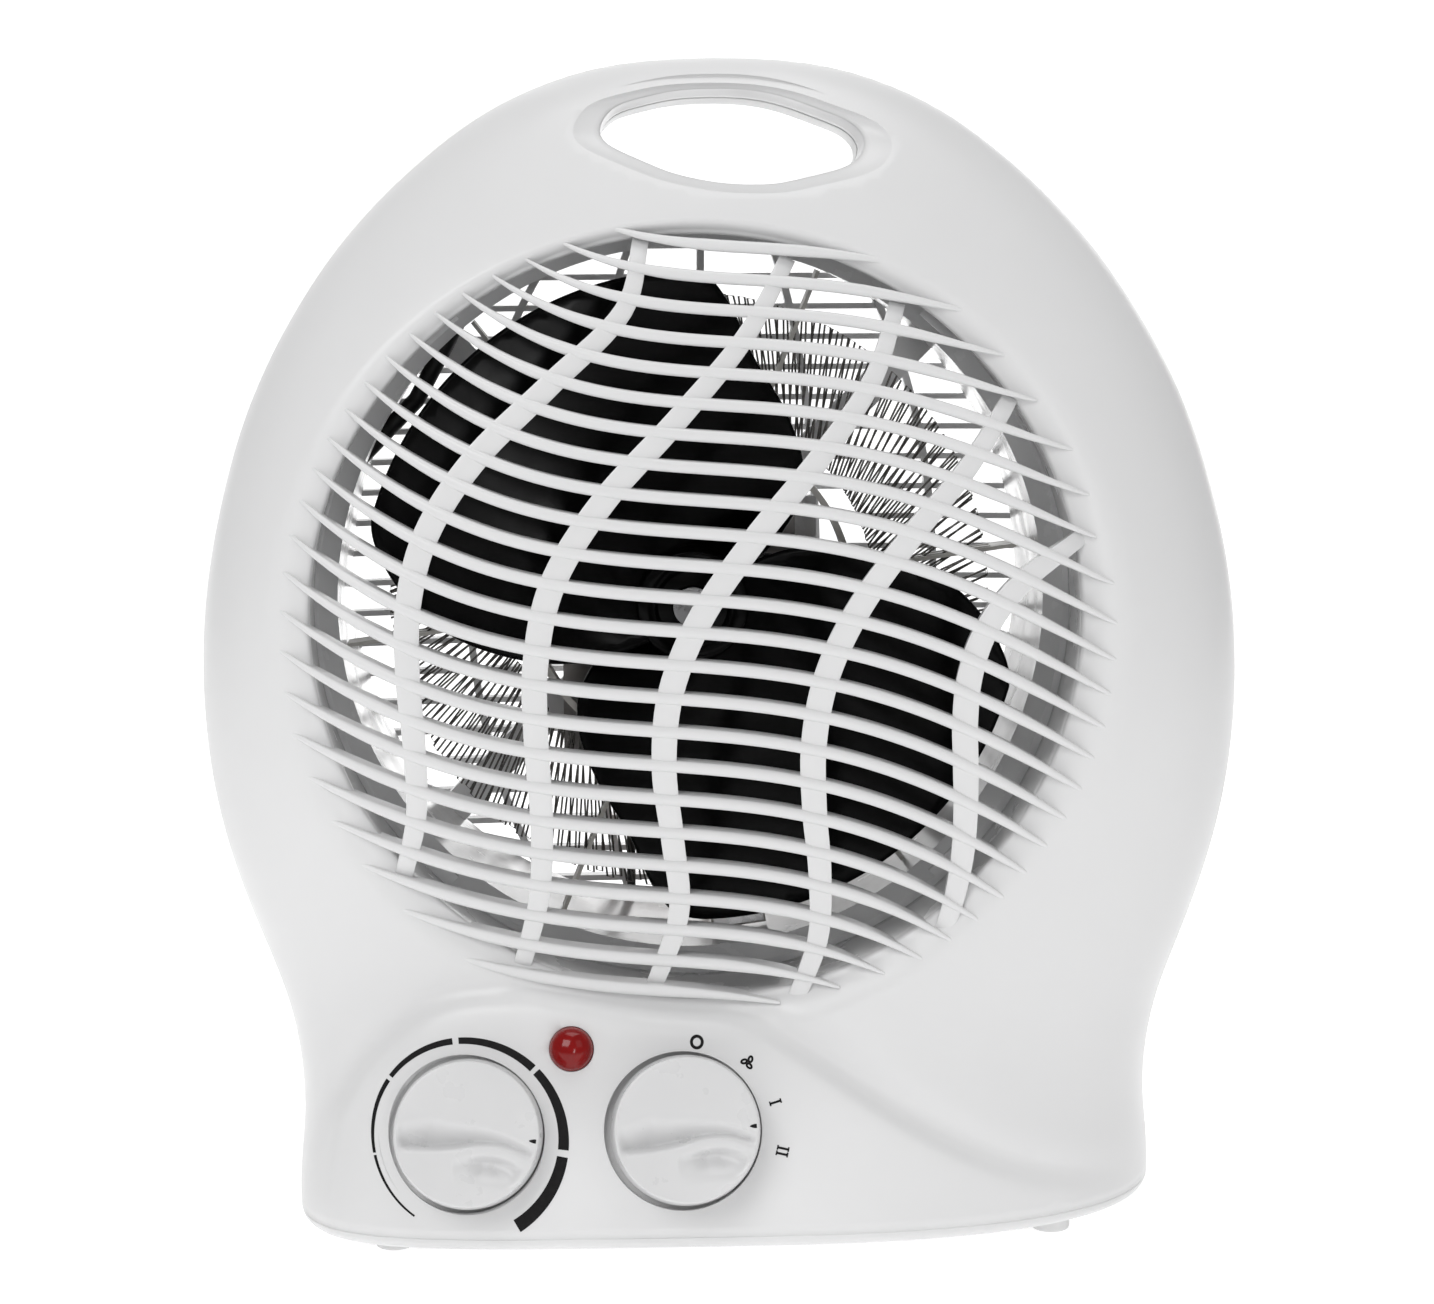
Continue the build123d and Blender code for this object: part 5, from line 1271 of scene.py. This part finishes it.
def fan():
    M = Mesh()
    out = resample(BLADE, step=1.3, closed=True)
    r = np.hypot(out[:, 0], out[:, 1])
    out = out * np.minimum(1.0, 70.7 / r)[:, None]
    t = np.roll(out, -1, 0) - np.roll(out, 1, 0)
    t /= np.linalg.norm(t, axis=1)[:, None]
    area = 0.5 * np.sum(out[:, 0] * np.roll(out[:, 1], -1) - np.roll(out[:, 0], -1) * out[:, 1])
    nrm = np.stack([t[:, 1], -t[:, 0]], 1) * (1 if area > 0 else -1)
    rim = out - 0.8 * nrm
    g = np.arange(-72, 73, 2.0)
    GX, GZ = np.meshgrid(g, g)
    G = np.stack([GX.ravel() + 0.5 * (np.round(GZ.ravel() / 2) % 2), GZ.ravel()], 1)
    G = G[inside_poly(G[:, 0], G[:, 1], rim)]
    near = np.min(np.linalg.norm(G[:, None] - rim[None], axis=2), axis=1) > 1.1
    G = G[near]
    P2 = np.vstack([rim, G])
    k = len(rim)
    res = geometry.delaunay_2d_cdt([Vector(v) for v in P2], [(i, (i + 1) % k) for i in range(k)], [], 0, 1e-5, True)
    V2 = np.array([tuple(v) for v in res[0]])
    tri = np.array([tuple(q) for q in res[2]])
    c = V2[tri].mean(1)
    tri = tri[inside_poly(c[:, 0], c[:, 1], rim)]

    def place(q, y, turn):
        sg = -1.0 if turn else 1.0
        return np.stack([AX + sg * q[:, 0], y, AZ + sg * q[:, 1]], 1)

    for turn in (0, 1):
        y = blade_y(V2[:, 0], V2[:, 1])
        M.add(place(V2, y - 0.8, turn), [tuple(q) for q in tri])
        M.add(place(V2, y + 0.8, turn), [tuple(q[::-1]) for q in tri])
        rows = []
        ye = blade_y(rim[:, 0], rim[:, 1])
        for a in np.linspace(-math.pi / 2, math.pi / 2, 7):
            q = rim + 0.8 * math.cos(a) * nrm
            rows.append(place(q, ye + 0.8 * math.sin(a), turn))
        M.grid(np.array(rows), close_v=True)
    n = 96
    ang = np.linspace(0, 2 * math.pi, n, endpoint=False)
    prof = [(2.05, -27.2), (2.3, -27.7), (4.0, -27.7), (4.4, -27.2), (7.4, -27.0), (8.0, -27.6), (8.5, -28.0), (11.0, -28.0),
            (11.6, -27.8), (11.95, -27.2), (12.0, -26.4), (12.0, -18.0), (12.0, -9.2), (11.6, -8.3), (10.8, -8.0),
            (5.2, -8.0), (5.0, -7.6), (5.0, -6.5), (4.7, -6.2), (2.4, -6.2), (2.05, -6.6)]
    rows = [np.stack([AX + rr * np.cos(ang), np.full(n, yy), AZ + rr * np.sin(ang)], 1) for rr, yy in prof]
    M.grid(np.array(rows), close_v=True)
    M.grid(np.array([rows[-1], rows[0]]), close_v=True)
    o = M.build("fan_rotor_blades", BLACK, body="fan_rotor", sharp=40)
    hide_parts("fan_blade")
    return o


fan_o = fan()

# ------------------------------------------------ materials for the CAD nodes
CAD_MATS = {
    "fan_duct": DUCTM, "mica_boards": MICA, "element_terminals": BRASS, "thermal_cutout": STEEL,
    "thermal_fuse": STEEL, "motor_stator": LAMI, "coil_bobbin": NYLON, "motor_coil": COPPER,
    "motor_bracket_front": STEEL, "motor_bracket_rear": STEEL, "motor_bearing_front": BRONZE,
    "motor_bearing_rear": BRONZE, "motor_screws": STEEL, "rotary_switch_body": BLACK, "thermostat_body": NYLON,
    "control_screws": STEEL, "neon_lamp": NYLON, "feet": RUBBER, "cover_screws": STEEL, "duct_screws": STEEL,
    "cord_bush": RUBBER, "terminal_block": NYLON, "terminal_screws": BRASS, "internal_leads": SLEEVE, "sleeved_lead": SLEEVE,
    "motor_shaft": STEEL, "motor_rotor": LAMI, "fan_clip": STEEL,
    "thermostat_spindle": STEEL, "switch_spindle": STEEL,
}
for name, m in CAD_MATS.items():
    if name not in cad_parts:
        continue
    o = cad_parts[name]
    if not o.material_slots:
        o.data.materials.append(m)
    for s in o.material_slots:
        s.link = "OBJECT"
        s.material = m


# ------------------------------------------------------- camera, floor, light
def camera():
    F, D = 3630.0, 800.0
    el, psi, roll = math.radians(7.5), math.radians(2.0), math.radians(0.4)
    T = np.array([0.0, 0.0, 119.5])
    f = np.array([math.sin(psi) * math.cos(el), math.cos(psi) * math.cos(el), -math.sin(el)])
    r = np.array([math.cos(psi), -math.sin(psi), 0.0])
    u = np.cross(r, f)
    c, s = math.cos(roll), math.sin(roll)
    r2 = r * c - u * s
    u2 = r * s + u * c
    C = (T - D * f + SHIFT) * 0.001
    cam = bpy.data.cameras.new("camera")
    cam.sensor_fit = "HORIZONTAL"
    cam.sensor_width = 36.0
    cam.lens = 36.0 * F / 1434.0
    cam.clip_start, cam.clip_end = 0.02, 50.0
    o = bpy.data.objects.new("camera", cam)
    bpy.context.collection.objects.link(o)
    M = Matrix((Vector(r2), Vector(u2), Vector(-f))).transposed().to_4x4()
    M.translation = Vector(C)
    o.matrix_world = M
    bpy.context.scene.camera = o
    return o


cam_o = camera()


def studio():
    # pale floor that curves up into a backdrop
    n = 40
    prof = [(-3.0, 0.0), (0.9, 0.0)]
    for a in np.linspace(0, math.pi / 2, 12)[1:]:
        prof.append((0.9 + 0.9 * math.sin(a), 0.9 * (1 - math.cos(a))))
    prof.append((1.8, 4.0))
    xs = np.linspace(-4, 4, 9)
    vs, fs = [], []
    for y, z in prof:
        for x in xs:
            vs.append((x, y, z))
    for i in range(len(prof) - 1):
        for j in range(8):
            a = i * 9 + j
            fs.append((a, a + 1, a + 10, a + 9))
    me = bpy.data.meshes.new("studio_floor")
    me.from_pydata(vs, [], fs)
    me.polygons.foreach_set("use_smooth", [True] * len(fs))
    o = bpy.data.objects.new("studio_floor", me)
    bpy.context.collection.objects.link(o)
    m, nt, b = nodes_of("studio_paper")
    b.inputs["Base Color"].default_value = (0.9, 0.9, 0.9, 1)
    b.inputs["Roughness"].default_value = 0.9
    b.inputs["Specular IOR Level"].default_value = 0.1
    b.inputs["Emission Color"].default_value = (1, 1, 1, 1)
    b.inputs["Emission Strength"].default_value = 0.5
    # the paper glows less towards its sides
    tc = nt.nodes.new("ShaderNodeTexCoord")
    sp = nt.nodes.new("ShaderNodeSeparateXYZ")
    nt.links.new(tc.outputs["Object"], sp.inputs["Vector"])
    ab = nt.nodes.new("ShaderNodeMath")
    ab.operation = "ABSOLUTE"
    nt.links.new(sp.outputs["X"], ab.inputs[0])
    mr = nt.nodes.new("ShaderNodeMapRange")
    mr.inputs["From Min"].default_value = 0.7
    mr.inputs["From Max"].default_value = 1.1
    mr.inputs["To Min"].default_value = 0.5
    mr.inputs["To Max"].default_value = 0.1
    nt.links.new(ab.outputs["Value"], mr.inputs["Value"])
    mf = nt.nodes.new("ShaderNodeMapRange")
    mf.inputs["From Min"].default_value = -0.6
    mf.inputs["From Max"].default_value = -0.2
    mf.inputs["To Min"].default_value = 0.12
    mf.inputs["To Max"].default_value = 1.0
    nt.links.new(sp.outputs["Y"], mf.inputs["Value"])
    mm = nt.nodes.new("ShaderNodeMath")
    mm.operation = "MULTIPLY"
    nt.links.new(mr.outputs["Result"], mm.inputs[0])
    nt.links.new(mf.outputs["Result"], mm.inputs[1])
    nt.links.new(mm.outputs["Value"], b.inputs["Emission Strength"])
    me.materials.append(m)

    def area(name, loc, target, size, power, spread=None):
        l = bpy.data.lights.new(name, "AREA")
        l.shape = "RECTANGLE"
        l.size, l.size_y = size
        l.energy = power
        q = bpy.data.objects.new(name, l)
        bpy.context.collection.objects.link(q)
        q.location = loc
        q.rotation_euler = (Vector(target) - Vector(loc)).to_track_quat("-Z", "Y").to_euler()
        return q

    area("key", (-0.7, -1.6, 1.25), (0, 0, 0.12), (1.0, 0.9), 14)
    area("fill", (1.0, -1.6, 1.2), (0, 0, 0.14), (0.9, 1.0), 1.6)
    area("top", (0.1, -0.1, 1.7), (0, 0.0, 0.1), (1.2, 1.0), 9.5)
    area("strip", (0.3, -2.0, 0.3), (0, 0, 0.13), (0.16, 0.45), 1.8)
    area("back", (0.25, 0.95, 0.2), (0, 0, 0.13), (0.6, 0.5), 1)
    w = bpy.data.worlds.new("world")
    bpy.context.scene.world = w
    w.use_nodes = True
    bg = next(n for n in w.node_tree.nodes if n.type == "BACKGROUND")
    bg.inputs["Color"].default_value = (1, 1, 1, 1)
    bg.inputs["Strength"].default_value = 0.36


studio()
bpy.context.scene.view_settings.view_transform = "Standard"
